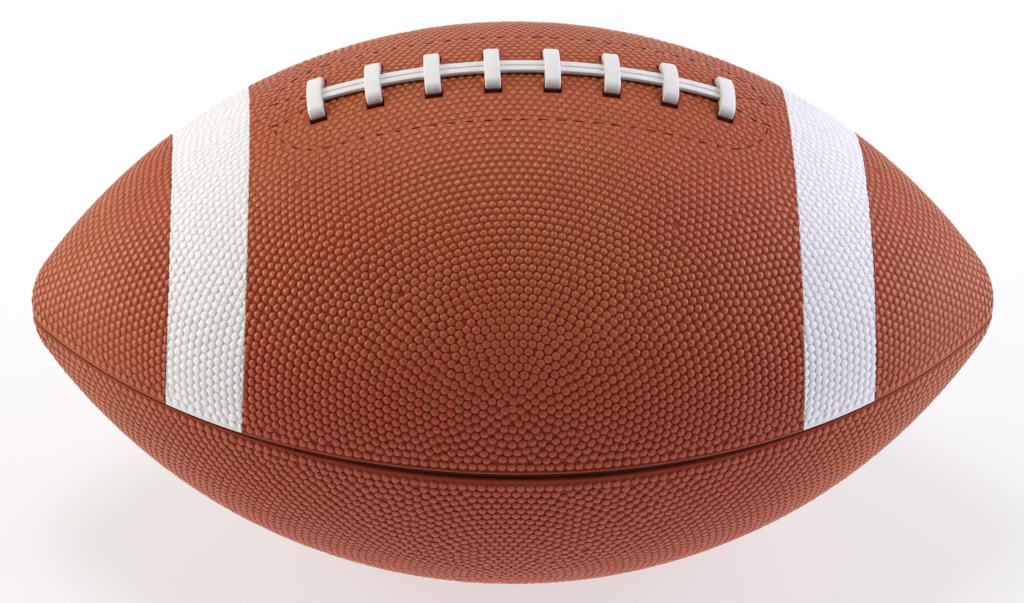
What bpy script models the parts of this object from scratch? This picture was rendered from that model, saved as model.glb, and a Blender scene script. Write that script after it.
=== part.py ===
"""Moulded rubber American football with laces and white stripes.

The long axis lies along X, the laces face up along Z, and the origin is the ball's centre.
The ball is a stack of shells of one outline: bladder, wound layer and a cover of four panels.
Every shell is the outline moved inwards, so neighbouring shells stay parallel all over.
"""

from math import atan2, copysign, cos, pi, radians, sin, tan

import bmesh
import bpy
from mathutils import Matrix, Vector

# Outline of the ball
LENGTH = 0.278
DIAMETER = 0.162
TIP_RADIUS = 0.021

# Gap left between neighbouring pieces
CLEARANCE = 0.0003

# Walls, from the outside in
COVER_OVER_PATCH = 0.0011
PATCH_THICKNESS = 0.0007
WINDING_THICKNESS = 0.0005
BLADDER_THICKNESS = 0.0007

# Seams between the panels
SEAM_GROOVE_WIDTH = 0.0025
SEAM_STRIP_WIDTH = 0.0008
SEAM_STRIP_HEIGHT = 0.0006

# White stripes, set into the upper panels; they lean towards the middle at the top
STRIPE_FROM_TIP = 0.0391
STRIPE_WIDTH = 0.0213
STRIPE_LEAN = radians(2.25)
STRIPE_THICKNESS = 0.0006

# Reinforcing patch behind the laces
PATCH_LENGTH = 0.145
PATCH_WIDTH = 0.047

# Long laces, side by side along the top seam
LONG_LACE_WIDTH = 0.0023
LONG_LACE_THICKNESS = 0.0012
LONG_LACE_INNER_CORNER = 0.00035

# Cross laces, moulded bars with a tunnel for the long laces
CROSS_LACE_COUNT = 8
CROSS_LACE_PITCH = 0.01665
CROSS_LACE_WIDTH = 0.0044
CROSS_LACE_SPAN = 0.0170
CROSS_LACE_THICKNESS = 0.0014
CROSS_LACE_SLOPE = radians(12.0)
CROSS_LACE_SHOULDER = 0.0025
LACE_EDGE_BEVEL = 0.0004
LACE_SLOT_RUNOUT = 0.0018

# Valve, in the lower rear panel at half length
VALVE_ANGLE_FROM_BOTTOM = radians(28.0)
VALVE_SINK = 0.0008
VALVE_BORE_DIAMETER = 0.005
VALVE_BULB_STEP = 0.0007
VALVE_BULB_START = 0.0055
VALVE_BULB_LENGTH = 0.006
VALVE_TAIL_LENGTH = 0.0045
VALVE_WALL = 0.0008
VALVE_FLANGE_DIAMETER = 0.024
VALVE_FLANGE_THICKNESS = 0.0012
NEEDLE_HOLE_DIAMETER = 0.0016
NEEDLE_HOLE_DEPTH = 0.003

# Facets of the curved walls
STEPS_AROUND = 32
STEPS_MAIN_ARC = 15
STEPS_TIP_ARC = 3
STEPS_VALVE = 24
STEPS_CORNER = 3
STEPS_SHOULDER = 4
STEPS_PATCH_END = 10
MERGE_DISTANCE = 0.00001

# How far cutting shapes run past what they cut
CUT_OVERSHOOT = 0.004

# Places that follow from the sizes above
HALF_LENGTH = LENGTH / 2
RADIUS = DIAMETER / 2
TIP_CENTRE = HALF_LENGTH - TIP_RADIUS
MAIN_RADIUS = (TIP_CENTRE**2 + RADIUS**2 - TIP_RADIUS**2) / (DIAMETER - 2 * TIP_RADIUS)
MAIN_DROP = MAIN_RADIUS - RADIUS
TANGENT_ANGLE = atan2(TIP_CENTRE, MAIN_DROP)
PANEL_SETBACK = SEAM_STRIP_WIDTH / 2 + CLEARANCE
TOP_SEAM_SETBACK = CLEARANCE / 2
STRIPE_END = HALF_LENGTH - STRIPE_FROM_TIP
STRIPE_START = STRIPE_END - STRIPE_WIDTH
STRIPE_POCKET = STRIPE_THICKNESS + CLEARANCE
PATCH_INSET = COVER_OVER_PATCH + CLEARANCE
COVER_THICKNESS = PATCH_INSET + PATCH_THICKNESS
WINDING_INSET = COVER_THICKNESS + CLEARANCE
BLADDER_INSET = WINDING_INSET + WINDING_THICKNESS + CLEARANCE
FLANGE_INSET = BLADDER_INSET + BLADDER_THICKNESS + CLEARANCE
LONG_LACE_TOP = CLEARANCE + LONG_LACE_THICKNESS
CROSS_LACE_UNDERSIDE = LONG_LACE_TOP + CLEARANCE
LONG_LACES_HALF_WIDTH = CLEARANCE / 2 + LONG_LACE_WIDTH
LACE_ROW_HALF_ANGLE = (CROSS_LACE_COUNT - 1) / 2 * CROSS_LACE_PITCH / MAIN_RADIUS
VALVE_TOP = RADIUS - VALVE_SINK
VALVE_BOTTOM = VALVE_TOP - VALVE_BULB_START - VALVE_BULB_LENGTH - VALVE_TAIL_LENGTH
VALVE_NECK_DIAMETER = VALVE_BORE_DIAMETER + 2 * VALVE_BULB_STEP + 2 * VALVE_WALL
BEYOND = LENGTH


def clear_scene():
    for obj in list(bpy.data.objects):
        bpy.data.objects.remove(obj, do_unlink=True)


def make_collection(name):
    collection = bpy.data.collections.new(name)
    bpy.context.scene.collection.children.link(collection)
    return collection


def make_material(name, colour, roughness):
    material = bpy.data.materials.new(name)
    material.use_nodes = True
    shader = material.node_tree.nodes["Principled BSDF"]
    shader.inputs["Base Color"].default_value = (*colour, 1.0)
    shader.inputs["Roughness"].default_value = roughness
    shader.inputs["Metallic"].default_value = 0.0
    material.diffuse_color = (*colour, 1.0)
    return material


def add_part(name, data, material):
    """A piece of the ball: one named object with its own material."""
    obj = bpy.data.objects.new(name, data)
    data.materials.clear()
    data.materials.append(material)
    PARTS.objects.link(obj)
    return obj


def add_cutter(name, data):
    """A shape that only cuts or trims the pieces."""
    obj = bpy.data.objects.new(name, data)
    obj.hide_render = True
    obj.display_type = "WIRE"
    CUTTERS.objects.link(obj)
    return obj


def trim(obj, operation, other):
    modifier = obj.modifiers.new(f"{operation.title()} {other.name}", "BOOLEAN")
    modifier.operation = operation
    modifier.solver = "EXACT"
    modifier.object = other


def turned_about_z(obj, steps):
    """Turn a profile in the XZ plane, listed from top to bottom, into a solid."""
    screw = obj.modifiers.new("Turn", "SCREW")
    screw.axis = "Z"
    screw.angle = 2 * pi
    screw.steps = steps
    screw.render_steps = steps
    screw.use_merge_vertices = True
    screw.merge_threshold = MERGE_DISTANCE
    screw.use_smooth_shade = True


def profile_mesh(name, points):
    """An open line of (radius, height) points, ready to be turned."""
    mesh = bpy.data.meshes.new(name)
    edges = [(i, i + 1) for i in range(len(points) - 1)]
    mesh.from_pydata([(radius, 0.0, height) for radius, height in points], edges, [])
    return mesh


def box_mesh(name, *corner_pairs):
    """Boxes between opposite corners, each optionally placed by a matrix."""
    mesh = bpy.data.meshes.new(name)
    shape = bmesh.new()
    for low, high, matrix in corner_pairs:
        size = Vector(high) - Vector(low)
        middle = (Vector(high) + Vector(low)) / 2
        placed = matrix @ Matrix.Translation(middle) @ Matrix.Diagonal((*size, 1.0))
        bmesh.ops.create_cube(shape, size=1.0, matrix=placed)
    shape.to_mesh(mesh)
    shape.free()
    return mesh


def flat_curve(name, outlines, thickness):
    """Closed outlines in the XY plane, filled and given a thickness along Z."""
    curve = bpy.data.curves.new(name, "CURVE")
    curve.dimensions = "2D"
    curve.fill_mode = "BOTH"
    curve.extrude = thickness / 2
    for outline in outlines:
        spline = curve.splines.new("POLY")
        spline.points.add(len(outline) - 1)
        for point, (x, y) in zip(spline.points, outline):
            point.co = (x, y, 0.0, 1.0)
        spline.use_cyclic_u = True
    return curve


def mesh_of_curve(curve):
    """The closed mesh of a curve, with its loose caps welded on."""
    holder = bpy.data.objects.new(curve.name, curve)
    bpy.context.scene.collection.objects.link(holder)
    evaluated = holder.evaluated_get(bpy.context.evaluated_depsgraph_get())
    mesh = bpy.data.meshes.new_from_object(evaluated)
    bpy.data.objects.remove(holder, do_unlink=True)
    shape = bmesh.new()
    shape.from_mesh(mesh)
    bmesh.ops.remove_doubles(shape, verts=shape.verts, dist=MERGE_DISTANCE)
    bmesh.ops.recalc_face_normals(shape, faces=shape.faces)
    shape.to_mesh(mesh)
    shape.free()
    return mesh


def arc(centre, radius, start, end, steps):
    """Points of an arc, both ends included; angles run anticlockwise from +X."""
    angles = [start + (end - start) * i / steps for i in range(steps + 1)]
    return [(centre[0] + radius * cos(a), centre[1] + radius * sin(a)) for a in angles]


def outline_angles():
    """Angles of the outline's normal from the middle section, from one tip to the other."""
    tip = [TANGENT_ANGLE + (pi / 2 - TANGENT_ANGLE) * i / STEPS_TIP_ARC for i in range(1, STEPS_TIP_ARC + 1)]
    main = [TANGENT_ANGLE * (2 * i / STEPS_MAIN_ARC - 1) for i in range(STEPS_MAIN_ARC + 1)]
    return [-a for a in reversed(tip)] + main + tip


def outline_point(angle, inset):
    """Place along the axis and distance from it, on the outline moved inwards by inset."""
    if abs(angle) <= TANGENT_ANGLE:
        radius = MAIN_RADIUS - inset
        return radius * sin(angle), radius * cos(angle) - MAIN_DROP
    radius = TIP_RADIUS - inset
    centre = TIP_CENTRE if angle > 0 else -TIP_CENTRE
    return centre + radius * sin(angle), radius * cos(angle)


def closed_outline(inset):
    """The whole outline of the ball in the plane of two seams."""
    upper = [outline_point(angle, inset) for angle in outline_angles()]
    lower = [(along, -away) for along, away in reversed(upper[1:-1])]
    return upper + lower


def spindle(inset):
    """The solid of the ball's outline, moved inwards by inset, with its axis along X."""
    profile = [outline_point(angle, inset) for angle in reversed(outline_angles())]
    points = [(away, along) for along, away in profile]
    points[0] = (0.0, points[0][1])
    points[-1] = (0.0, points[-1][1])
    name = f"spindle_{inset * 1e6:.0f}um"
    obj = add_cutter(name, profile_mesh(name, points))
    obj.rotation_euler = (0.0, pi / 2, 0.0)
    turned_about_z(obj, STEPS_AROUND)
    return obj


def seam_groove(name, rotation):
    """A ring of diamond section that presses a V groove along two opposite seams."""
    curve = bpy.data.curves.new(name, "CURVE")
    curve.dimensions = "3D"
    curve.twist_mode = "Z_UP"
    curve.fill_mode = "FULL"
    curve.bevel_depth = SEAM_GROOVE_WIDTH / 2
    curve.bevel_resolution = 0
    points = closed_outline(0.0)
    spline = curve.splines.new("POLY")
    spline.points.add(len(points) - 1)
    for point, (x, y) in zip(spline.points, points):
        point.co = (x, y, 0.0, 1.0)
    spline.use_cyclic_u = True
    obj = add_cutter(name, mesh_of_curve(curve))
    obj.rotation_euler = rotation
    return obj


def quarter_block(rear, lower):
    """The block of space that one panel fills, set back from both of its seams."""
    beside = PANEL_SETBACK if lower else TOP_SEAM_SETBACK
    low = Vector((-BEYOND, -BEYOND, PANEL_SETBACK))
    high = Vector((BEYOND, -beside, BEYOND))
    if rear:
        low.y, high.y = beside, BEYOND
    if lower:
        low.z, high.z = -BEYOND, -PANEL_SETBACK
    return low, high, Matrix.Identity(4)


def lace_frame(angle):
    """Frame on the ball's top line: X across the seam, Y outwards, Z along the seam."""
    along, away = outline_point(angle, 0.0)
    across = Vector((0.0, 1.0, 0.0))
    outwards = Vector((sin(angle), 0.0, cos(angle)))
    matrix = Matrix((across, outwards, across.cross(outwards))).transposed().to_4x4()
    return Matrix.Translation((along, 0.0, away)) @ matrix


def cross_lace_angles():
    step = CROSS_LACE_PITCH / MAIN_RADIUS
    return [i * step - LACE_ROW_HALF_ANGLE for i in range(CROSS_LACE_COUNT)]


def lace_section(name, width, thickness):
    """The flat section of a lace with bevelled edges, thickness along X and width along Y."""
    x = thickness / 2
    y = width / 2
    side = [
        (x - LACE_EDGE_BEVEL, -y),
        (x, LACE_EDGE_BEVEL - y),
        (x, y - LACE_EDGE_BEVEL),
        (x - LACE_EDGE_BEVEL, y),
    ]
    other_side = [(-along, -across) for along, across in side]
    return add_cutter(name, flat_curve(name, [side + other_side], 0.0))


def swept_lace(name, path, section, material):
    """A lace whose section follows a path in its own XY plane."""
    curve = bpy.data.curves.new(name, "CURVE")
    curve.dimensions = "3D"
    curve.twist_mode = "Z_UP"
    curve.bevel_mode = "OBJECT"
    curve.bevel_object = section
    curve.use_fill_caps = True
    spline = curve.splines.new("POLY")
    spline.points.add(len(path) - 1)
    for point, (x, y) in zip(spline.points, path):
        point.co = (x, y, 0.0, 1.0)
    return add_part(name, mesh_of_curve(curve), material)


def drop_beside_top(across):
    """How far the ball's surface falls from its top line, this far across from it."""
    return RADIUS - (RADIUS**2 - across**2) ** 0.5


def cross_lace_profile():
    """A bar seen along the seam: a low arch on two legs, with a tunnel for the long laces."""
    half = CROSS_LACE_SPAN / 2
    foot = -drop_beside_top(half) - COVER_THICKNESS
    tunnel = LONG_LACES_HALF_WIDTH + CLEARANCE
    top = CROSS_LACE_UNDERSIDE + CROSS_LACE_THICKNESS
    corner = CROSS_LACE_SHOULDER
    slope_run = half - corner + corner * sin(CROSS_LACE_SLOPE) - tunnel
    shoulder = top - slope_run * tan(CROSS_LACE_SLOPE) - corner * cos(CROSS_LACE_SLOPE)
    bend = arc((half - corner, shoulder), corner, 0.0, pi / 2 - CROSS_LACE_SLOPE, STEPS_SHOULDER)
    outside = [(half, foot)] + bend + [(tunnel, top)]
    leg = half - CROSS_LACE_THICKNESS
    inside = [(tunnel, CROSS_LACE_UNDERSIDE)]
    inside += [(across, CLEARANCE - drop_beside_top(across)) for across in (tunnel, leg)]
    inside += [(leg, foot)]
    other_outside = [(-x, y) for x, y in reversed(outside)]
    other_inside = [(-x, y) for x, y in reversed(inside)]
    return outside + other_outside + other_inside + inside


def build_cross_laces(material):
    for number, angle in enumerate(cross_lace_angles(), start=1):
        name = f"cross_lace_{number}"
        curve = flat_curve(name, [cross_lace_profile()], CROSS_LACE_WIDTH - 2 * LACE_EDGE_BEVEL)
        curve.bevel_depth = LACE_EDGE_BEVEL
        curve.bevel_resolution = 0
        curve.offset = -LACE_EDGE_BEVEL
        lace = add_part(name, mesh_of_curve(curve), material)
        lace.matrix_world = lace_frame(angle)


def long_lace_path():
    """A line that follows the top of the ball and turns down under the end bars."""
    end = LACE_ROW_HALF_ANGLE * MAIN_RADIUS
    height = CLEARANCE + LONG_LACE_THICKNESS / 2
    foot = COVER_OVER_PATCH - CLEARANCE
    corner = LONG_LACE_INNER_CORNER + LONG_LACE_THICKNESS / 2
    side = [(end, -foot)] + arc((end - corner, height - corner), corner, 0.0, pi / 2, STEPS_CORNER)
    run = [(end * (1 - 2 * i / STEPS_MAIN_ARC), height) for i in range(1, STEPS_MAIN_ARC)]
    path = side + run + [(-along, up) for along, up in reversed(side)]
    return [outline_point(along / MAIN_RADIUS, -up) for along, up in path]


def build_long_laces(material):
    section = lace_section("long_lace_section", LONG_LACE_WIDTH, LONG_LACE_THICKNESS)
    for name, side in (("long_lace_front", -1), ("long_lace_rear", 1)):
        lace = swept_lace(name, long_lace_path(), section, material)
        lace.rotation_euler = (pi / 2, 0.0, 0.0)
        lace.location.y = side * (LONG_LACE_WIDTH + CLEARANCE) / 2


def lace_slots():
    """Slots through the cover and patch for the laces' ends."""
    half = CROSS_LACE_SPAN / 2
    inner = half - CROSS_LACE_THICKNESS - CLEARANCE
    outer = half + LACE_SLOT_RUNOUT
    depth = COVER_THICKNESS + CUT_OVERSHOOT
    reach = CROSS_LACE_WIDTH / 2 + CLEARANCE
    boxes = []
    for angle in cross_lace_angles():
        frame = lace_frame(angle)
        boxes.append(((inner, -depth, -reach), (outer, depth, reach), frame))
        boxes.append(((-outer, -depth, -reach), (-inner, depth, reach), frame))
    return add_cutter("lace_slots", box_mesh("lace_slots", *boxes))


def long_lace_holes():
    """Holes beside the top seam where the long laces turn down into the cover."""
    across = LONG_LACES_HALF_WIDTH + CLEARANCE
    depth = COVER_THICKNESS + CUT_OVERSHOOT
    reach = LONG_LACE_THICKNESS / 2 + CLEARANCE
    boxes = []
    for angle in (-LACE_ROW_HALF_ANGLE, LACE_ROW_HALF_ANGLE):
        boxes.append(((-across, -depth, -reach), (across, depth, reach), lace_frame(angle)))
    return add_cutter("long_lace_holes", box_mesh("long_lace_holes", *boxes))


def patch_column(name, margin):
    """An upright column whose plan is the patch's rounded outline."""
    radius = PATCH_WIDTH / 2 + margin
    centre = (PATCH_LENGTH - PATCH_WIDTH) / 2
    outline = arc((centre, 0.0), radius, -pi / 2, pi / 2, STEPS_PATCH_END)
    outline += arc((-centre, 0.0), radius, pi / 2, 3 * pi / 2, STEPS_PATCH_END)
    mesh = mesh_of_curve(flat_curve(name, [outline], RADIUS))
    mesh.transform(Matrix.Translation((0.0, 0.0, RADIUS)))
    return mesh


def stripe_slab(name, start, end):
    """A slab across the ball between two places of its front seam, leaning as the stripes do."""
    middle = (start + end) / 2
    lean = -copysign(STRIPE_LEAN, middle)
    about_seam = Matrix.Translation((middle, 0.0, 0.0)) @ Matrix.Rotation(lean, 4, "Y")
    half = (end - start) / 2
    block = ((-half, -BEYOND, -BEYOND), (half, BEYOND, BEYOND), about_seam)
    return add_cutter(name, box_mesh(name, block))


def stripe_pocket(name, start, end, floor):
    """A stripe's slab that stops at the pocket's floor."""
    obj = stripe_slab(name, start, end)
    trim(obj, "DIFFERENCE", floor)
    return obj


def build_panels(material, spindles, side_groove, upper_cuts, lower_cuts, valve_hole):
    for name, rear, lower in (
        ("panel_upper_front", False, False),
        ("panel_upper_rear", True, False),
        ("panel_lower_front", False, True),
        ("panel_lower_rear", True, True),
    ):
        panel = add_part(name, box_mesh(name, quarter_block(rear, lower)), material)
        trim(panel, "INTERSECT", spindles["cover_outside"])
        trim(panel, "DIFFERENCE", spindles["cover_inside"])
        cuts = [side_groove] + (lower_cuts if lower else upper_cuts)
        if rear and lower:
            cuts.append(valve_hole)
        for cut in cuts:
            trim(panel, "DIFFERENCE", cut)


def stripe_ranges():
    """Start and end of the stripes along the ball, left and right."""
    return (("left", -STRIPE_END, -STRIPE_START), ("right", STRIPE_START, STRIPE_END))


def build_stripes(material, spindles, side_groove):
    for side, start, end in stripe_ranges():
        slab = stripe_slab(f"stripe_slab_{side}", start + CLEARANCE, end - CLEARANCE)
        for face, rear in (("front", False), ("rear", True)):
            name = f"stripe_{face}_{side}"
            stripe = add_part(name, box_mesh(name, quarter_block(rear, False)), material)
            trim(stripe, "INTERSECT", slab)
            trim(stripe, "INTERSECT", spindles["cover_outside"])
            trim(stripe, "DIFFERENCE", spindles["stripe_underside"])
            trim(stripe, "DIFFERENCE", side_groove)


def seam_strip_curve(name):
    """A flat ring as deep in the seam as the cover goes over the patch."""
    outside = closed_outline(COVER_OVER_PATCH - SEAM_STRIP_HEIGHT)
    inside = closed_outline(COVER_OVER_PATCH)
    return flat_curve(name, [outside, inside], SEAM_STRIP_WIDTH)


def build_seam_strips(material):
    """A ring along the front and rear seams, and a strip below that ends against it at the tips."""
    add_part("seam_strip_ring", seam_strip_curve("seam_strip_ring"), material)
    name = "seam_strip_bottom"
    mesh = mesh_of_curve(seam_strip_curve(name))
    mesh.transform(Matrix.Rotation(pi / 2, 4, "X"))
    strip = add_part(name, mesh, material)
    ring_side = SEAM_STRIP_WIDTH / 2 + CLEARANCE
    below = ((-BEYOND, -BEYOND, -BEYOND), (BEYOND, BEYOND, -ring_side), Matrix.Identity(4))
    trim(strip, "INTERSECT", add_cutter("space_below_ring", box_mesh("space_below_ring", below)))


def build_lace_patch(material, spindles, slots):
    patch = add_part("lace_patch", patch_column("lace_patch", 0.0), material)
    trim(patch, "INTERSECT", spindles["patch_outside"])
    trim(patch, "DIFFERENCE", spindles["cover_inside"])
    trim(patch, "DIFFERENCE", slots)


def valve_turn():
    """Rotation from upright to the valve's direction in the lower rear panel."""
    return (pi + VALVE_ANGLE_FROM_BOTTOM, 0.0, 0.0)


def valve_cylinder(name, diameter, low, high):
    points = [(0.0, high), (diameter / 2, high), (diameter / 2, low), (0.0, low)]
    obj = add_cutter(name, profile_mesh(name, points))
    obj.rotation_euler = valve_turn()
    turned_about_z(obj, STEPS_VALVE)
    return obj


def plug_profile(margin):
    """Straight shank and a fatter bulb that holds it in the boot; margin widens it."""
    shank = VALVE_BORE_DIAMETER / 2 - CLEARANCE + margin
    bulb = shank + VALVE_BULB_STEP
    shoulder = VALVE_TOP - VALVE_BULB_START + margin
    heel = VALVE_TOP - VALVE_BULB_START - VALVE_BULB_LENGTH - margin
    return [
        (shank, VALVE_TOP),
        (shank, shoulder + VALVE_BULB_STEP),
        (bulb, shoulder),
        (bulb, heel),
        (shank, heel - VALVE_BULB_STEP),
        (shank, VALVE_BOTTOM),
    ]


def build_bladder_and_winding(bladder_material, winding_material, spindles, valve_hole):
    for name, material, outside, inside in (
        ("winding", winding_material, "winding_outside", "winding_inside"),
        ("bladder", bladder_material, "bladder_outside", "bladder_inside"),
    ):
        shell = add_part(name, box_mesh(name, ((-BEYOND,) * 3, (BEYOND,) * 3, Matrix.Identity(4))), material)
        trim(shell, "INTERSECT", spindles[outside])
        trim(shell, "DIFFERENCE", spindles[inside])
        trim(shell, "DIFFERENCE", valve_hole)


def build_valve(boot_material, plug_material, spindles):
    neck = VALVE_NECK_DIAMETER / 2
    flange = valve_cylinder("valve_flange_outline", VALVE_FLANGE_DIAMETER, VALVE_BOTTOM, RADIUS)
    trim(flange, "INTERSECT", spindles["flange_outside"])
    trim(flange, "DIFFERENCE", spindles["flange_inside"])

    boot_points = [(0.0, VALVE_TOP), (neck, VALVE_TOP), (neck, VALVE_BOTTOM), (0.0, VALVE_BOTTOM)]
    boot = add_part("valve_boot", profile_mesh("valve_boot", boot_points), boot_material)
    boot.rotation_euler = valve_turn()
    turned_about_z(boot, STEPS_VALVE)
    trim(boot, "UNION", flange)
    above = VALVE_TOP + CUT_OVERSHOOT
    below = VALVE_BOTTOM - CUT_OVERSHOOT
    bore_walls = plug_profile(CLEARANCE)
    bore_radius = bore_walls[0][0]
    bore_points = [(0.0, above), (bore_radius, above)] + bore_walls[1:-1]
    bore_points += [(bore_radius, below), (0.0, below)]
    bore = add_cutter("valve_bore", profile_mesh("valve_bore", bore_points))
    bore.rotation_euler = valve_turn()
    turned_about_z(bore, STEPS_VALVE)
    trim(boot, "DIFFERENCE", bore)

    needle = NEEDLE_HOLE_DIAMETER / 2
    floor = VALVE_TOP - NEEDLE_HOLE_DEPTH
    plug_points = [(0.0, floor - needle), (needle, floor), (needle, VALVE_TOP)]
    plug_points += plug_profile(0.0) + [(0.0, VALVE_BOTTOM)]
    plug = add_part("valve_plug", profile_mesh("valve_plug", plug_points), plug_material)
    plug.rotation_euler = valve_turn()
    turned_about_z(plug, STEPS_VALVE)


def build_football():
    brown_rubber = make_material("brown_pebbled_rubber", (0.26, 0.062, 0.028), 0.5)
    white_rubber = make_material("white_stripe_rubber", (0.75, 0.74, 0.72), 0.45)
    lace_rubber = make_material("cream_lace_rubber", (0.78, 0.76, 0.71), 0.4)
    seam_rubber = make_material("dark_seam_rubber", (0.10, 0.030, 0.018), 0.55)
    patch_cloth = make_material("patch_cloth", (0.20, 0.17, 0.13), 0.9)
    winding_nylon = make_material("winding_nylon", (0.10, 0.095, 0.085), 0.8)
    bladder_butyl = make_material("bladder_butyl", (0.03, 0.03, 0.03), 0.5)
    valve_rubber = make_material("valve_rubber", (0.04, 0.04, 0.04), 0.55)

    insets = {
        "cover_outside": 0.0,
        "stripe_underside": STRIPE_THICKNESS,
        "stripe_floor": STRIPE_POCKET,
        "patch_pocket": COVER_OVER_PATCH,
        "patch_outside": PATCH_INSET,
        "cover_inside": COVER_THICKNESS,
        "winding_outside": WINDING_INSET,
        "winding_inside": WINDING_INSET + WINDING_THICKNESS,
        "bladder_outside": BLADDER_INSET,
        "bladder_inside": BLADDER_INSET + BLADDER_THICKNESS,
        "flange_outside": FLANGE_INSET,
        "flange_inside": FLANGE_INSET + VALVE_FLANGE_THICKNESS,
    }
    spindles = {place: spindle(inset) for place, inset in insets.items()}
    side_groove = seam_groove("front_and_rear_groove", (0.0, 0.0, 0.0))
    bottom_groove = seam_groove("bottom_groove", (pi / 2, 0.0, 0.0))
    slots = lace_slots()
    patch_pocket = add_cutter("patch_pocket", patch_column("patch_pocket", CLEARANCE))
    trim(patch_pocket, "INTERSECT", spindles["patch_pocket"])
    upper_cuts = [patch_pocket, slots, long_lace_holes()]
    for side, start, end in stripe_ranges():
        upper_cuts.append(stripe_pocket(f"stripe_pocket_{side}", start, end, spindles["stripe_floor"]))
    hole_diameter = VALVE_NECK_DIAMETER + 2 * CLEARANCE
    valve_hole = valve_cylinder("valve_hole", hole_diameter, VALVE_BOTTOM, RADIUS + CUT_OVERSHOOT)

    build_panels(brown_rubber, spindles, side_groove, upper_cuts, [bottom_groove], valve_hole)
    build_stripes(white_rubber, spindles, side_groove)
    build_seam_strips(seam_rubber)
    build_lace_patch(patch_cloth, spindles, slots)
    build_long_laces(lace_rubber)
    build_cross_laces(lace_rubber)
    build_bladder_and_winding(bladder_butyl, winding_nylon, spindles, valve_hole)
    build_valve(valve_rubber, bladder_butyl, spindles)


clear_scene()
PARTS = make_collection("rubber_football")
CUTTERS = make_collection("cutters")
build_football()
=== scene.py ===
"""Looks of a moulded rubber football with laces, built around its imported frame.

Every cover panel and stripe is a closed skin with real pebbles on it. The pebbles stand in rows that
circle one point of their panel, and the skin ends in a smooth rim at the seams, lace slots and valve.
All lengths are in metres, with the ball's long axis along X and its laces up along Z.
"""

from collections import namedtuple
from math import cos, pi, radians, sin, tan

import bmesh
import bpy
import numpy as np
from mathutils import Matrix, Vector
from mathutils.geometry import delaunay_2d_cdt
from mathutils.kdtree import KDTree


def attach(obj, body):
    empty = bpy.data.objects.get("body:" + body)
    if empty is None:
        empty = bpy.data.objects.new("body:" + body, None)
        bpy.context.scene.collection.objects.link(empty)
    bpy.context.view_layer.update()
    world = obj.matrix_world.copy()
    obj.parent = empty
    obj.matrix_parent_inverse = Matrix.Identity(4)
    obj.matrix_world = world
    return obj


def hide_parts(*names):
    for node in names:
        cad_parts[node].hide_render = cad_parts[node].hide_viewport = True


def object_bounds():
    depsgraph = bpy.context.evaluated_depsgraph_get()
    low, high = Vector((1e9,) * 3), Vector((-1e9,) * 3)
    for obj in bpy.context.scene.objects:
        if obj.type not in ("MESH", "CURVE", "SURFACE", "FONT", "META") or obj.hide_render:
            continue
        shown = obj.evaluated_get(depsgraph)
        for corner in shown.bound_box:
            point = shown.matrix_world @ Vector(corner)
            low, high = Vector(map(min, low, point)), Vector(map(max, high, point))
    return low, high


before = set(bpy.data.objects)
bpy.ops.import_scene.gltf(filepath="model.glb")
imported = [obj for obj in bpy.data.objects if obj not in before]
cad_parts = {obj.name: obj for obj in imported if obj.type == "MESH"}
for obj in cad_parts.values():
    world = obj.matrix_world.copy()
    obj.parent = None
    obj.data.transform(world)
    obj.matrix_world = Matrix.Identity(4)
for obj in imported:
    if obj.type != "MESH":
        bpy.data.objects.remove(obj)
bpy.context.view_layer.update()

# Outline of the ball, two arcs on each side that share a tangent
BALL_LENGTH = 0.278
BALL_DIAMETER = 0.162
TIP_RADIUS = 0.021
BALL_RADIUS = BALL_DIAMETER / 2
TIP_CENTRE = BALL_LENGTH / 2 - TIP_RADIUS
BALL_HALF = TIP_CENTRE + TIP_RADIUS
MAIN_RADIUS = (TIP_CENTRE**2 + BALL_RADIUS**2 - TIP_RADIUS**2) / (BALL_DIAMETER - 2 * TIP_RADIUS)
MAIN_DROP = MAIN_RADIUS - BALL_RADIUS
TANGENT_ANGLE = np.arctan2(TIP_CENTRE, MAIN_DROP)
TANGENT_X = MAIN_RADIUS * np.sin(TANGENT_ANGLE)
TANGENT_AWAY = TIP_RADIUS * np.cos(TANGENT_ANGLE)
LENGTHWISE = np.array([1.0, 0.0, 0.0])

# Tables along the outline, which end this close to the axis
TABLE_END = 0.0002
TABLE_STEPS = 8001

# The rear half mirrors the front half; left and right are told apart by the sign of X
FACES = (("front", 1.0), ("rear", -1.0))
HANDS = (("left", -1.0), ("right", 1.0))

# Cover and its pebbles; heights are measured from the outline
COVER_DEPTH = 0.0021
VALLEY = -0.00036
PEBBLE_PITCH = 0.00268
PEBBLE_HALF = 0.00145
PEBBLE_HEIGHT = 0.00056
PEBBLE_HEIGHT_SPREAD = 0.12
PEBBLE_SCATTER = 0.03
PEBBLE_SMALLEST = 0.35
PEBBLE_APART = 0.66
PEBBLE_SHARES = (0.75, 1.08)
PEBBLE_SIDES = 8

# A pebble's rings, from its foot up: share of its radius, height, and how crown-like its colour is, from
# the painted valley shade at 0 to the crown at 1
PEBBLE_RINGS = ((1.0, -0.25, 0.0), (0.84, 0.40, 0.6), (0.55, 0.80, 0.95), (0.20, 1.0, 1.0))

# Points of the skin: their spacing along a rim, and how far the valley floor's own points keep from it
RIM_SPACING = 0.0014
RIM_CLEAR = 0.6 * RIM_SPACING

# Triangulating, cutting, merging and shading of meshes
CHART_TOLERANCE = 1e-9
TRIANGLES_INSIDE = 1
OFF_TILE = -1.0
CUT_TOLERANCE = 1e-7
MERGE_DISTANCE = 1e-6
SECTION_CORNER_STEPS = 4
SKIN_SHARP = radians(70.0)
CURVE_SHARP = radians(50.0)
VALVE_SHARP = radians(35.0)

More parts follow.
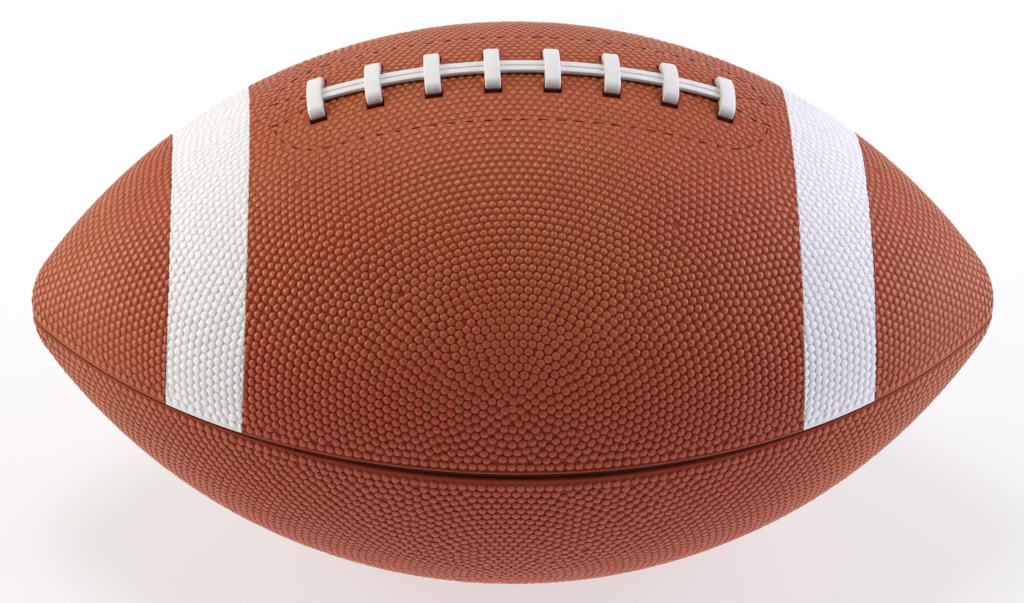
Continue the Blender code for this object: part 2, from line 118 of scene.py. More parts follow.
# Rows of pebbles; they stop the overlap's width from the axis, and run on by it over the top line
WHORL_ALONG = -0.004
UPPER_WHORL = radians(15.0)
LOWER_WHORL = radians(38.0)
ROW_BEARINGS = 1440
ROW_SPOKES = 4
ROW_SUBSTEPS = 4
ROW_REACH = 0.180
ROW_STEP = 0.82
ROW_TIGHTEST = 0.6
ROW_LOOSEST = 1.45
ROW_OVERLAP = 2 * PEBBLE_PITCH
EVENING_ROUNDS = 24
EVENING_SHARE = 0.20
EVENING_REACH = 1.06
EVENING_NEIGHBOURS = 6
SPACING_NEIGHBOURS = 5

# Pebbles stand closer together away from the side seams
FINE_HEIGHT = (0.030, 0.060)
FINE_SHARE = 0.10

# Pebbles are lower towards the laces and the tips, and on the stripes
CALM_AROUND = (radians(38.0), radians(70.0))
CALM_ALONG = (0.085, 0.120)
CALM_LIFT = 0.38
CALM_SIZE = 0.14
# Share of the crown colour on the valley floor where the pebbles are calm, so less painted shade there
CALM_FLOOR = 0.35
STRIPE_LIFT = 0.65

# Crown colour that shifts towards the laces and the tips: on the brown it is painted light, lighter and
# more golden where the lamps fall most; on the white stripes it is slightly greyer
WEAR_AND_LIGHT_HEIGHT = (0.015, 0.070)
WEAR_AND_LIGHT_ALONG = (0.070, 0.125)
WEAR_AND_LIGHT_AMOUNT = (0.15, 1.7)

# White stripes, between two planes that lean towards the middle at the top
STRIPE_START = 0.0786
STRIPE_END = 0.0999
STRIPE_LEAN = 0.0393
LEAN_ROUNDS = 6

# Seams are narrower and shallower at the tips
SEAM_FADE = (0.015, 0.105)
SEAM_TIP_SHARE = 0.28

# Laces over the top line
LACE_COUNT = 8
LACE_PITCH = 0.01665
LACE_WIDTH = 0.0044
LACE_SPAN = 0.0170
LACE_THICKNESS = 0.0014
LACE_SLOPE = radians(12.0)
LACE_UNDERSIDE = 0.0018
LACE_SHOULDER = 0.0025
LACE_SHOULDER_STEPS = 12
LACE_CREST_EASES = (0.0012, 0.0006)
LACE_CREST_SLOPE = 0.9
LACE_CREST_INSET = 0.0004
LACE_EDGE = 0.00065
LACE_EDGE_STEPS = 3
LACE_BED = 0.0003
LACE_FOOT_DEPTHS = (0.0021, 0.0008, 0.0004, 0.0002, 0.0)
# Heights from the ball's surface over which a lace turns to painted slot shade below it
LACE_DARK = (0.00010, -0.00030)
SLOT_INNER = 0.0068
SLOT_OUTER = 0.0102
SLOT_REACH = 0.0025
SLOT_MARGIN = 0.0003
SLOT_CORNERS_ACROSS = 3
SLOT_CORNERS_ALONG = 5
LONG_LACE_WIDTH = 0.0023
LONG_LACE_THICKNESS = 0.0012
LONG_LACE_EDGE = 0.00035
LONG_LACE_BED = 0.0003
LONG_LACE_GAP = 0.0003
LONG_LACE_CORNER = 0.00095
LONG_LACE_CORNER_STEPS = 6
LONG_LACE_STEPS = 60
LONG_LACE_FOOT = 0.0008

# Stitch line around the laces, as distances along the ball and across from the top line
STITCH_HALF_LENGTH = 0.0695
STITCH_HALF_WIDTH = 0.0208
STITCH_CORNER = 0.0165
STITCH_CORNER_POINTS = 9
STITCH_STRAIGHT_POINTS = 24
STITCH_RETURN = ((0.0690, 0.0062), (0.0655, 0.0052), (0.0612, 0.0031))
STITCH_PITCH = 0.0050
STITCH_LENGTH = 0.0029
STITCH_WIDTH = 0.00038
STITCH_HEIGHT = 0.0005
STITCH_SHARES = (0.8, 1.15)
STITCH_SIDES = 8
STITCH_RINGS = 6
STITCH_LEVEL = -0.00026
STITCH_CHANNEL = 0.0013
STITCH_PRESS = 0.35

# Seam strips, in the grooves between panels
STRIP_WIDTH = 0.0008
STRIP_TOP = -0.00045
STRIP_BOTTOM = -0.0011
STRIP_EDGE = 0.0003
STRIP_POINTS = 200

# Valve, in the lower rear panel at half length
VALVE_ANGLE_FROM_BOTTOM = radians(28.0)
VALVE_AROUND = pi / 2 - VALVE_ANGLE_FROM_BOTTOM
VALVE_HOLE_RADIUS = 0.0043
VALVE_RIM_WIDTH = 0.0012
VALVE_RIM_EXTRA_POINTS = 8
VALVE_LENGTH = 0.016
VALVE_NECK_RADIUS = 0.0040
VALVE_NECK_EDGE = 0.0004
VALVE_SHANK_RADIUS = 0.0022
VALVE_SHANK_EDGE = 0.00024
VALVE_SHANK_GAP = 0.0003
VALVE_NEEDLE_RADIUS = 0.0008
VALVE_NEEDLE_DEPTH = 0.0030
VALVE_NEEDLE_TAPER_RADIUS = 0.00048
VALVE_NEEDLE_TAPER_DEPTH = 0.0021
VALVE_SINK = 0.0008
VALVE_STEPS = 64

# Finishes that several materials share
MIDDLE_GREY = (0.5, 0.5, 0.5, 1.0)
VALLEY_ROUGHNESS = 0.8
MIDDLE_TONE = 0.5
NOISE_MEAN = 0.5
GRAIN_DEPTH = 0.0002
BROAD_GRAIN_SHARE = 0.08

# Floor: how white the camera sees it by distance from the ball, and where it glows up at the ball
FLOOR_GAP = 0.0001
FLOOR_SIZE = 4.0
FLOOR_COLOUR = (0.86, 0.86, 0.86, 1.0)
FLOOR_ROUGHNESS = 0.9
FLOOR_WHITE_DISTANCES = (0.25, 0.60)
FLOOR_WHITE_SHARES = (0.6, 1.0)
FLOOR_GLOW = 1.7
FLOOR_GLOW_Y = -0.07
FLOOR_GLOW_SQUEEZE = (0.45, 1.0, 1.0)
FLOOR_GLOW_DISTANCES = (0.05, 0.15)

# Light: the soft lamps, and the strength of the white room before and behind the ball
Softbox = namedtuple("Softbox", "name place size power colour")
SOFTBOXES = (
    Softbox("overhead_softbox", (-0.20, 0.10, 1.35), 0.45, 7.6, (1.0, 0.97, 0.95)),
    Softbox("left_softbox", (-1.2, 0.0, 0.45), 0.9, 14.4, (1.0, 0.96, 0.93)),
    Softbox("right_softbox", (1.2, 0.0, 0.45), 1.4, 22.4, (0.834, 0.812, 1.0)),
)
ROOM_BEFORE = 0.02
ROOM_BEHIND = 0.82
PURE_WHITE = (1.0, 1.0, 1.0, 1.0)

# Camera, at the photograph's angle
CAMERA_ELEVATION = radians(36.42)
CAMERA_TURN = radians(-3.36)
CAMERA_ROLL = radians(1.80)
CAMERA_DISTANCE = 1.4542
CAMERA_LENS = 177.13
CAMERA_SENSOR = 36.0
CAMERA_SHIFT_X = -0.00246
CAMERA_SHIFT_Y = 0.00091
CAMERA_NEAREST = 0.05
CAMERA_FARTHEST = 20.0

RANDOM_SEED = 11
FACE_SEED_STEP = 10
LOWER_SEED_STEP = 5
rng = np.random.default_rng(RANDOM_SEED)


def ramp(values, ends):
    """How far values have come from the first end to the second, from 0 to 1."""
    return np.clip((values - ends[0]) / (ends[1] - ends[0]), 0.0, 1.0)


# The ball's surface, by the angle of its outline and the angle around its axis


def outline(angle, height=0.0):
    """Place along the axis and distance from it, at an angle of the outline's normal."""
    angle = np.asarray(angle, float)
    main = MAIN_RADIUS + height
    tip = TIP_RADIUS + height
    on_main = np.abs(angle) <= TANGENT_ANGLE
    along = np.where(on_main, main * np.sin(angle), np.sign(angle) * TIP_CENTRE + tip * np.sin(angle))
    away = np.where(on_main, main * np.cos(angle) - MAIN_DROP, tip * np.cos(angle))
    return along, away


def surface(angle, around, height=0.0):
    """Points of the ball; around runs from the front seam up to the laces."""
    along, away = outline(angle, height)
    return np.stack([along, -away * np.cos(around), away * np.sin(around)], axis=-1)


def settle(points):
    """The nearest place on the ball for each point: its two angles and its normal."""
    away = np.hypot(points[:, 1], points[:, 2])
    angle = np.arctan2(points[:, 0], away + MAIN_DROP)
    past_tangent = np.abs(angle) > TANGENT_ANGLE
    tip_angle = np.sign(angle) * np.arctan2(np.abs(points[:, 0]) - TIP_CENTRE, away)
    angle = np.where(past_tangent, tip_angle, angle)
    around = np.arctan2(points[:, 2], -points[:, 1])
    normal = np.stack(
        [np.sin(angle), -np.cos(angle) * np.cos(around), np.cos(angle) * np.sin(around)], axis=-1
    )
    return angle, around, normal


def angle_at(along):
    """The outline's angle at a place along the axis."""
    along = np.asarray(along, float)
    tip = np.arcsin(np.clip((np.abs(along) - TIP_CENTRE) / TIP_RADIUS, -1.0, 1.0))
    main = np.arcsin(np.clip(along / MAIN_RADIUS, -1.0, 1.0))
    return np.where(np.abs(along) <= TANGENT_X, main, np.sign(along) * tip)


def angle_where(away):
    """The outline's angle on the +X side where it is this far from the axis."""
    if away >= TANGENT_AWAY:
        return float(np.arccos((away + MAIN_DROP) / MAIN_RADIUS))
    return float(np.arccos(away / TIP_RADIUS))


def length_at(angle):
    """Length of the outline from half length to an angle."""
    past = np.maximum(np.abs(angle) - TANGENT_ANGLE, 0.0)
    return np.sign(angle) * (MAIN_RADIUS * np.minimum(np.abs(angle), TANGENT_ANGLE) + TIP_RADIUS * past)


ANGLE_TABLE = np.linspace(-angle_where(TABLE_END), angle_where(TABLE_END), TABLE_STEPS)
LENGTH_TABLE = length_at(ANGLE_TABLE)
STEP_OVER_AWAY = np.gradient(LENGTH_TABLE) / outline(ANGLE_TABLE)[1]
CHART_TABLE = np.cumsum(STEP_OVER_AWAY) - np.cumsum(STEP_OVER_AWAY)[TABLE_STEPS // 2]


def angle_after(length):
    """The outline's angle after a length of it from half length."""
    return np.interp(length, LENGTH_TABLE, ANGLE_TABLE)


def chart(angle, around):
    """A flat map of the surface that keeps every angle true, for triangulating it."""
    return np.stack([np.interp(angle, ANGLE_TABLE, CHART_TABLE), around], axis=-1)


# Rows of pebbles


def pitch_share(points):
    """The pebbles' pitch at a place, as a share of the full one."""
    return 1.0 - FINE_SHARE * ramp(points[:, 2], FINE_HEIGHT)


def row_stations(lengths, shift):
    """Places along a ring, in step with its spokes; the odd ones out meet half way between spokes."""
    spokes = lengths[:: ROW_BEARINGS // ROW_SPOKES] + shift
    stations = []
    for start, end in zip(spokes[:-1], spokes[1:]):
        each = int((end - start) / 2 / PEBBLE_PITCH)
        left_over = end - start - 2 * each * PEBBLE_PITCH
        forward = list(start + PEBBLE_PITCH * np.arange(each + 1))
        backward = list(end - PEBBLE_PITCH * np.arange(1, each + 1))
        if left_over < ROW_TIGHTEST * PEBBLE_PITCH and each > 0:
            backward.pop()
        elif left_over > ROW_LOOSEST * PEBBLE_PITCH:
            forward.append((start + end) / 2)
        stations += forward + backward
    return np.array(stations) % lengths[-1]


def pebble_rows(whorl):
    """Places in rows that circle a spot near half length, each row half a pitch on from the last."""
    bearing = np.linspace(0.0, 2 * pi, ROW_BEARINGS, endpoint=False)[:, None]
    centre = surface(angle_at(WHORL_ALONG), whorl)
    upwards = np.array([0.0, sin(whorl), cos(whorl)])
    heading = np.cos(bearing) * LENGTHWISE + np.sin(bearing) * upwards
    place = np.repeat(centre[None, :], ROW_BEARINGS, axis=0)
    stride = ROW_STEP * PEBBLE_PITCH
    points = [centre[None, :]]
    for row in range(int(ROW_REACH / stride)):
        for _ in range(ROW_SUBSTEPS):
            moved = place + heading * pitch_share(place)[:, None] * stride / ROW_SUBSTEPS
            angle, around, normal = settle(moved)
            place = surface(angle, around)
            heading = heading - normal * np.sum(heading * normal, axis=1, keepdims=True)
            heading = heading / np.linalg.norm(heading, axis=1, keepdims=True)
        closed = np.vstack([place, place[:1]])
        gaps = np.linalg.norm(np.diff(closed, axis=0), axis=1) / pitch_share(place)
        lengths = np.concatenate([[0.0], np.cumsum(gaps)])
        stations = row_stations(lengths, row % 2 * PEBBLE_PITCH / 2)
        points.append(np.stack([np.interp(stations, lengths, closed[:, k]) for k in range(3)], axis=-1))
    points = np.vstack(points)
    return points + rng.normal(0.0, PEBBLE_SCATTER * PEBBLE_PITCH, points.shape)


def seam_row(edge, on_top):
    """A row of places along a seam, just clear of the edge's rim."""
    reach = length_at(angle_where(ROW_OVERLAP))
    angle = angle_after(np.arange(-reach, reach, PEBBLE_PITCH))
    along, away = outline(angle)
    from_plane = np.arcsin((edge_distance(edge, 0.0, along) + PEBBLE_HALF) / away)
    return surface(angle, pi / 2 - from_plane if on_top else from_plane)


def filled_tree(points):
    """A search tree of points."""
    tree = KDTree(len(points))
    for i, point in enumerate(points):
        tree.insert(point, i)
    tree.balance()
    return tree


def nearest_others(tree, point, count):
    """Numbers and distances of the points nearest to one of them."""
    found = tree.find_n(point, count + 1)[1:]
    return [number for _, number, _ in found], [gap for _, _, gap in found]


def thinned(points, fixed):
    """The points without those that come too near to a fixed or an earlier one."""
    everything = np.vstack([fixed, points])
    tree = filled_tree(everything)
    kept = np.ones(len(everything), bool)
    for i, point in enumerate(everything):
        if kept[i]:
            for _, j, _ in tree.find_range(point, PEBBLE_APART * PEBBLE_PITCH):
                kept[j] &= j <= i
    return points[kept[len(fixed) :]]


def evened(points, fixed):
    """The points moved until they stand about one pitch from each other and from the fixed ones."""
    for _ in range(EVENING_ROUNDS):
        everything = np.vstack([points, fixed])
        tree = filled_tree(everything)
        near = np.array([nearest_others(tree, point, EVENING_NEIGHBOURS)[0] for point in points])
        apart = points[:, None, :] - everything[near]
        gap = np.linalg.norm(apart, axis=2, keepdims=True)
        reach = EVENING_REACH * PEBBLE_PITCH * pitch_share(points)[:, None, None]
        push = np.sum(apart / gap * np.maximum(reach - gap, 0.0), axis=1)
        points = surface(*settle(points + EVENING_SHARE * push)[:2])
    return points


def pebble_places(whorl, edges, fixed):
    """Places for the pebbles of a quarter of the ball, as angles, and each one's share of full size."""
    edge_rows = np.vstack([seam_row(edge, on_top) for edge, on_top in edges])
    fixed = np.vstack([fixed, edge_rows])
    points = pebble_rows(whorl)
    for edge, on_top in edges:
        beside = -points[:, 1] if on_top else points[:, 2]
        points = points[beside > edge_distance(edge, 0.0, points[:, 0])]
    points = points[(points[:, 2] > 0.0) & (points[:, 1] < ROW_OVERLAP)]
    points = np.vstack([edge_rows, evened(thinned(points, fixed), fixed)])
    tree = filled_tree(points)
    spacing = np.array([np.mean(nearest_others(tree, point, SPACING_NEIGHBOURS)[1]) for point in points])
    angle, around = settle(points)[:2]
    return angle, around, np.clip(spacing / PEBBLE_PITCH, *PEBBLE_SHARES)


# Edges of a tile: set back from the seam or stripe, with a smooth rim before the pebbles start.
# A rim's steps go outwards: share of the rim's width, height, and how pebble-like its colour is, from the
# painted valley shade at 0 to the crown at 1.

Edge = namedtuple("Edge", "setback margin tip_margin steps")
LIP = (
    (0.25, -0.00012, 0.6),
    (0.45, 0.00006, 1.0),
    (0.72, 0.00006, 1.0),
    (0.90, -0.00014, 0.6),
    (1.0, -0.0006, 0.1),
)
BAND = (
    (0.15, -0.00038, 0.0),
    (0.50, -0.00042, 0.0),
    (0.74, -0.00042, 0.0),
    (0.87, 0.00002, 1.0),
    (1.0, -0.0006, 0.2),
)
STRIPE_LIP = (
    (0.20, -0.00020, 0.7),
    (0.45, -0.00005, 1.0),
    (0.75, -0.00005, 1.0),
    (0.93, -0.00015, 0.8),
    (1.0, -0.0005, 0.3),
)
FLUSH = (*((share, VALLEY, 0.0) for share in (0.2, 0.4, 0.7, 1.0)), (1.0, -0.0006, 0.0))
SLOT_STEPS = (
    (0.3, VALLEY, 0.0),
    (0.6, VALLEY, 0.0),
    (0.9, -0.00034, 0.0),
    (1.0, -0.0006, 0.0),
    (1.0, -0.0012, 0.0),
)

UPPER_SEAM_EDGE = Edge(0.0007, 0.0009, 0.0006, LIP)
LOWER_SEAM_EDGE = Edge(0.0014, 0.0016, 0.0005, BAND)
STRIPE_SEAM_EDGE = Edge(0.0007, 0.0009, 0.0008, STRIPE_LIP)
TOP_EDGE = Edge(0.00001, 0.0003, 0.0003, FLUSH)
CUT_EDGE = Edge(0.00012, 0.0003, 0.0003, FLUSH)
STRIPE_EDGE = Edge(0.0, 0.0003, 0.0003, FLUSH)

# A loop is a rim as two rings of angles. A tile lies between two side planes, or ends in a tip.
Loop = namedtuple("Loop", "inner outer steps")
Tile = namedtuple("Tile", "start end left right seam top")


def seam_fade(along):
    """How deep and wide a seam is at a place along the ball, as a share of its middle."""
    share = ramp(np.abs(along), SEAM_FADE)
    return 1.0 - (1.0 - SEAM_TIP_SHARE) * share * share * (3.0 - 2.0 * share)


def edge_distance(edge, share, along):
    """Distance from a seam's plane, share of the way out over the edge's rim."""
    fade = seam_fade(along)
    middle_share = (fade - SEAM_TIP_SHARE) / (1.0 - SEAM_TIP_SHARE)
    margin = edge.tip_margin + (edge.margin - edge.tip_margin) * middle_share
    return edge.setback * fade + (1.0 - share) * margin


def leaning_place(start, height):
    """Where along the ball a stripe's plane passes a height."""
    return start - np.sign(start) * STRIPE_LEAN * height


def leaning_angle(start, height):
    """The outline's angle where a stripe's plane passes a height."""
    return angle_at(leaning_place(start, height))


def side_starts(tile, share):
    """Where the tile's left and right planes cross the front seam's plane."""
    kept = 1.0 - share
    left = tile.start + tile.left.setback + kept * tile.left.margin if tile.left else None
    right = tile.end - tile.right.setback - kept * tile.right.margin if tile.right else None
    return left, right


def tip_distances(tile, share):
    """Distances of a tile's two long edges from their planes at a tip."""
    return [edge_distance(edge, share, BALL_HALF) for edge in (tile.seam, tile.top)]


def tip_turn(tile, share, edge):
    """The angle from an edge's plane at a tile's tip, where both long edges meet."""
    seam, top = tip_distances(tile, share)
    return np.arctan2(seam, top) if edge is tile.seam else np.arctan2(top, seam)


def long_edge(tile, share, count, edge, on_top):
    """One of the tile's long edges from left to right, as angles."""
    point = angle_where(np.hypot(*tip_distances(tile, share)))
    ends = []
    for start, tip in zip(side_starts(tile, share), (-point, point)):
        if start is None:
            ends.append(tip)
            continue
        height = 0.0
        for _ in range(LEAN_ROUNDS if on_top else 0):
            height = float(outline(leaning_angle(start, height))[1])
        ends.append(float(leaning_angle(start, height)))
    angle = angle_after(np.linspace(length_at(ends[0]), length_at(ends[1]), count + 1))
    along, away = outline(angle)
    from_plane = np.arcsin(np.clip(edge_distance(edge, share, along) / away, 0.0, 1.0))
    if not tile.left:
        from_plane[0] = tip_turn(tile, share, edge)
    if not tile.right:
        from_plane[-1] = tip_turn(tile, share, edge)
    return np.stack([angle, pi / 2 - from_plane if on_top else from_plane], axis=-1)


def short_edge(start, low, high, count):
    """A tile's left or right edge from the seam to the top, without its ends."""
    around = np.linspace(low, high, count + 1)[1:-1]
    angle = np.full_like(around, float(leaning_angle(start, 0.0)))
    for _ in range(LEAN_ROUNDS):
        angle = leaning_angle(start, outline(angle)[1] * np.sin(around))
    return np.stack([angle, around], axis=-1)


def tile_ring(tile, share, counts):
    """The tile's outline as angles, anticlockwise from the left end of its seam edge."""
    along_seam = long_edge(tile, share, counts[0], tile.seam, False)
    along_top = long_edge(tile, share, counts[0], tile.top, True)[::-1]
    left, right = side_starts(tile, share)
    ring = [along_seam]
    if tile.right:
        ring.append(short_edge(right, along_seam[-1, 1], along_top[0, 1], counts[1]))
    ring.append(along_top[0 if tile.right else 1 : len(along_top) if tile.left else -1])
    if tile.left:
        ring.append(short_edge(left, along_seam[0, 1], along_top[-1, 1], counts[1])[::-1])
    return np.vstack(ring)


def tile_loop(tile):
    """The rim around a tile, with points about one spacing apart."""
    starts = [abs(x) for x in (tile.start, tile.end) if x is not None]
    low = tile.start if tile.left else -BALL_HALF
    high = tile.end if tile.right else BALL_HALF
    lengthwise = round(float(length_at(angle_at(high)) - length_at(angle_at(low))) / RIM_SPACING)
    widest = float(outline(angle_at(min(starts)))[1]) if starts else BALL_RADIUS
    upwards = round(widest * pi / 2 / RIM_SPACING)
    counts = (lengthwise, upwards)
    steps = [tile.seam.steps] * (lengthwise + 1)
    if tile.right:
        steps += [tile.right.steps] * (upwards - 1)
    steps += [tile.top.steps] * (lengthwise + 1 - (not tile.right) - (not tile.left))
    if tile.left:
        steps += [tile.left.steps] * (upwards - 1)
    return Loop(tile_ring(tile, 0.0, counts), tile_ring(tile, 1.0, counts), steps)


def lace_angles():
    """The outline's angles at the cross laces."""
    middle = (LACE_COUNT - 1) / 2
    return [(i - middle) * LACE_PITCH / MAIN_RADIUS for i in range(LACE_COUNT)]


def lace_frame(angle):
    """Frame on the top line: X across the ball, Y outwards, Z along the top line."""
    along, away = outline(angle)
    across = Vector((0.0, 1.0, 0.0))
    outwards = Vector((sin(angle), 0.0, cos(angle)))
    matrix = Matrix((across, outwards, across.cross(outwards))).transposed().to_4x4()
    return Matrix.Translation((float(along), 0.0, float(away))) @ matrix


def angles_of(points):
    """The two angles of each point's nearest place on the ball."""
    return np.stack(settle(points)[:2], axis=-1)


def slot_ring(angle, grow):
    """A lace slot's outline, clockwise, on the front side of the top line."""
    inner = SLOT_INNER - grow
    outer = SLOT_OUTER + grow
    reach = SLOT_REACH + grow
    corners = [(-outer, -reach), (-inner, -reach), (-inner, reach), (-outer, reach)]
    counts = (SLOT_CORNERS_ACROSS, SLOT_CORNERS_ALONG) * 2
    points = []
    for (x0, z0), (x1, z1), count in zip(corners, corners[1:] + corners[:1], counts):
        for i in range(count):
            share = i / count
            points.append((x0 + (x1 - x0) * share, 0.0, z0 + (z1 - z0) * share))
    matrix = lace_frame(angle)
    return angles_of(np.array([matrix @ Vector(point) for point in points]))


def circle_on_ball(around, radius, count):
    """A circle at half length, clockwise."""
    turn = np.linspace(0.0, -2 * pi, count, endpoint=False)[:, None]
    upwards = np.array([0.0, sin(around), cos(around)])
    return angles_of(surface(0.0, around) + radius * (np.cos(turn) * LENGTHWISE + np.sin(turn) * upwards))


def slot_loops():
    """Rims of the lace slots."""
    loops = []
    for angle in lace_angles():
        inner = slot_ring(angle, SLOT_MARGIN)
        loops.append(Loop(inner, slot_ring(angle, 0.0), [SLOT_STEPS] * len(inner)))
    return loops


def valve_loops():
    """The rim of the valve's hole."""
    count = round(2 * pi * VALVE_HOLE_RADIUS / RIM_SPACING) + VALVE_RIM_EXTRA_POINTS
    inner = circle_on_ball(VALVE_AROUND, VALVE_HOLE_RADIUS + VALVE_RIM_WIDTH, count)
    outer = circle_on_ball(VALVE_AROUND, VALVE_HOLE_RADIUS, count)
    return [Loop(inner, outer, [LIP] * count)]


# Stitch line


def stitch_line():
    """Points of the front half of the stitch line, along the ball and across from the top line."""
    end = STITCH_HALF_LENGTH - STITCH_CORNER
    side = STITCH_HALF_WIDTH - STITCH_CORNER
    turn = np.linspace(0.0, pi / 2, STITCH_CORNER_POINTS)
    corner = np.stack([end + STITCH_CORNER * np.cos(turn), side + STITCH_CORNER * np.sin(turn)], axis=-1)
    half = np.vstack([np.array(STITCH_RETURN)[::-1], corner])
    other = half[::-1] * np.array([-1.0, 1.0])
    straight = np.linspace(half[-1], other[0], STITCH_STRAIGHT_POINTS)[1:-1]
    return np.vstack([half, straight, other])


def stitch_points(height):
    """The stitch line's points, at a height from the ball's surface."""
    line = stitch_line()
    angle = angle_at(line[:, 0])
    return surface(angle, pi / 2 - line[:, 1] / outline(angle)[1], height)


def distance_to_path(points, path):
    """Shortest distance from each point to a line through the path's points."""
    nearest = np.full(len(points), np.inf)
    for start, end in zip(path[:-1], path[1:]):
        span = end - start
        share = np.clip((points - start) @ span / (span @ span), 0.0, 1.0)
        gap = np.linalg.norm(points - start - share[:, None] * span, axis=1)
        nearest = np.minimum(nearest, gap)
    return nearest


# Tiles of the cover's skin


def inside_ring(points, ring):
    """Whether points lie inside a small convex ring, seen along the ring's own normal."""
    centre = ring.mean(axis=0)
    following = np.roll(ring, -1, axis=0)
    normal = np.cross(ring - centre, following - centre).sum(axis=0)
    inside = np.linalg.norm(points - centre, axis=1) < 2 * np.linalg.norm(ring - centre, axis=1).max()
    for a, b in zip(ring, following):
        inside &= np.cross(b - a, points - a) @ normal > 0
    return inside


def room_on_tile(tile, points, holes):
    """Distance from each point to the nearest rim and to the nearest side plane; negative off the tile."""
    along, height = points[:, 0], points[:, 2]
    room = height - edge_distance(tile.seam, 0.0, along)
    beside = -points[:, 1]
    if tile.top is TOP_EDGE:
        room = np.where(beside > 0.0, room, OFF_TILE)
    else:
        room = np.minimum(room, beside - edge_distance(tile.top, 0.0, along))
    for hole in holes:
        ring = surface(*hole.inner.T)
        gap = distance_to_path(points, np.vstack([ring, ring[:1]]))
        room = np.minimum(room, np.where(inside_ring(points, ring), -gap, gap))
    side_room = np.full(len(points), np.inf)
    left, right = side_starts(tile, 1.0)
    if tile.left:
        side_room = np.minimum(side_room, along - leaning_place(left, height))
    if tile.right:
        side_room = np.minimum(side_room, leaning_place(right, height) - along)
    return room, side_room


def calm_share(tile, angle, around):
    """How far the pebbles have flattened out, towards the laces and the tips."""
    calm = ramp(np.abs(outline(angle)[0]), CALM_ALONG)
    if tile.top is TOP_EDGE:
        calm = np.maximum(calm, ramp(around, CALM_AROUND))
    return calm


def wear_and_light_share(points):
    """How far the crowns take their second colour towards the laces and the tips: painted light on the
    brown, slight greying on the white.
    """
    return np.maximum(ramp(points[:, 2], WEAR_AND_LIGHT_HEIGHT), ramp(np.abs(points[:, 0]), WEAR_AND_LIGHT_ALONG))


def triangulate(loops, angle, around):
    """Vertices as angles, loops first, and triangles between them."""
    places = np.vstack([loop.inner for loop in loops] + [np.stack([angle, around], axis=-1)])
    flat = chart(*places.T)
    edges = []
    owner = np.full(len(places), -1)
    first = 0
    for number, loop in enumerate(loops):
        count = len(loop.inner)
        edges += [(first + i, first + (i + 1) % count) for i in range(count)]
        owner[first : first + count] = number
        first += count
    found = delaunay_2d_cdt([Vector(p) for p in flat], edges, [], TRIANGLES_INSIDE, CHART_TOLERANCE)
    source = [ids[0] for ids in found[3]]
    triangles = []
    for face in found[2]:
        corners = [source[i] for i in face]
        owners = {owner[c] for c in corners}
        if len(owners) == 1 and owners.pop() > 0:
            continue
        triangles.append(corners)
    return places, triangles


def mesh_from(name, points, faces, attributes):
    """A mesh with numbers or vectors stored on its points."""
    mesh = bpy.data.meshes.new(name)
    mesh.from_pydata([tuple(p) for p in points], [], faces)
    for label, values in attributes.items():
        values = np.asarray(values, np.float32)
        layer = mesh.attributes.new(label, "FLOAT" if values.ndim == 1 else "FLOAT_VECTOR", "POINT")
        layer.data.foreach_set("value" if values.ndim == 1 else "vector", values.ravel())
    return mesh


def put_object(name, data):
    """A new object in the scene."""
    obj = bpy.data.objects.new(name, data)
    bpy.context.scene.collection.objects.link(obj)
    return obj


def smoothed(mesh, sharp_angle):
    """A mesh shaded smooth, but for edges sharper than an angle."""
    mesh.shade_smooth()
    mesh.set_sharp_from_angle(angle=sharp_angle)
    return mesh


def skin_mesh(name, loops, places, triangles, floor_relief, flip):
    """A closed skin: valley floor outside, stepped rims at all loops, and an even inner face."""
    floor_count = len(places)
    points = [surface(*places.T, VALLEY), surface(*places.T, -COVER_DEPTH)]
    relief = [floor_relief, np.zeros(floor_count)]
    faces = [tuple(t) for t in triangles]
    faces += [tuple(floor_count + i for i in reversed(t)) for t in triangles]
    total = 2 * floor_count
    first = 0
    for loop in loops:
        count = len(loop.inner)
        steps = np.array(loop.steps)
        starts = [first]
        for k in range(steps.shape[1]):
            mixed = loop.inner + (loop.outer - loop.inner) * steps[:, k, 0:1]
            fade = seam_fade(outline(mixed[:, 0])[0])
            height = VALLEY + (steps[:, k, 1] - VALLEY) * fade
            on_ball = surface(*mixed.T)
            points.append(on_ball + settle(on_ball)[2] * height[:, None])
            relief.append(steps[:, k, 2])
            starts.append(total)
            total += count
        points.append(surface(*loop.outer.T, -COVER_DEPTH))
        relief.append(np.zeros(count))
        starts += [total, floor_count + first]
        total += count
        first += count
        for low, high in zip(starts, starts[1:]):
            for i in range(count):
                j = (i + 1) % count
                faces.append((low + i, high + i, high + j, low + j))
    points = np.vstack(points) * flip
    if flip.prod() < 0:
        faces = [tuple(reversed(face)) for face in faces]
    attributes = {
        "relief": np.concatenate(relief),
        "tone": np.full(len(points), MIDDLE_TONE),
        "worn": wear_and_light_share(points),
    }
    return smoothed(mesh_from(name, points, faces, attributes), SKIN_SHARP)


# Pebbles are listed by place, normal, and shares of full size and height; a side plane cuts some
Pebbles = namedtuple("Pebbles", "points facing size lift cut")
Cover = namedtuple("Cover", "tile skin pebbles")


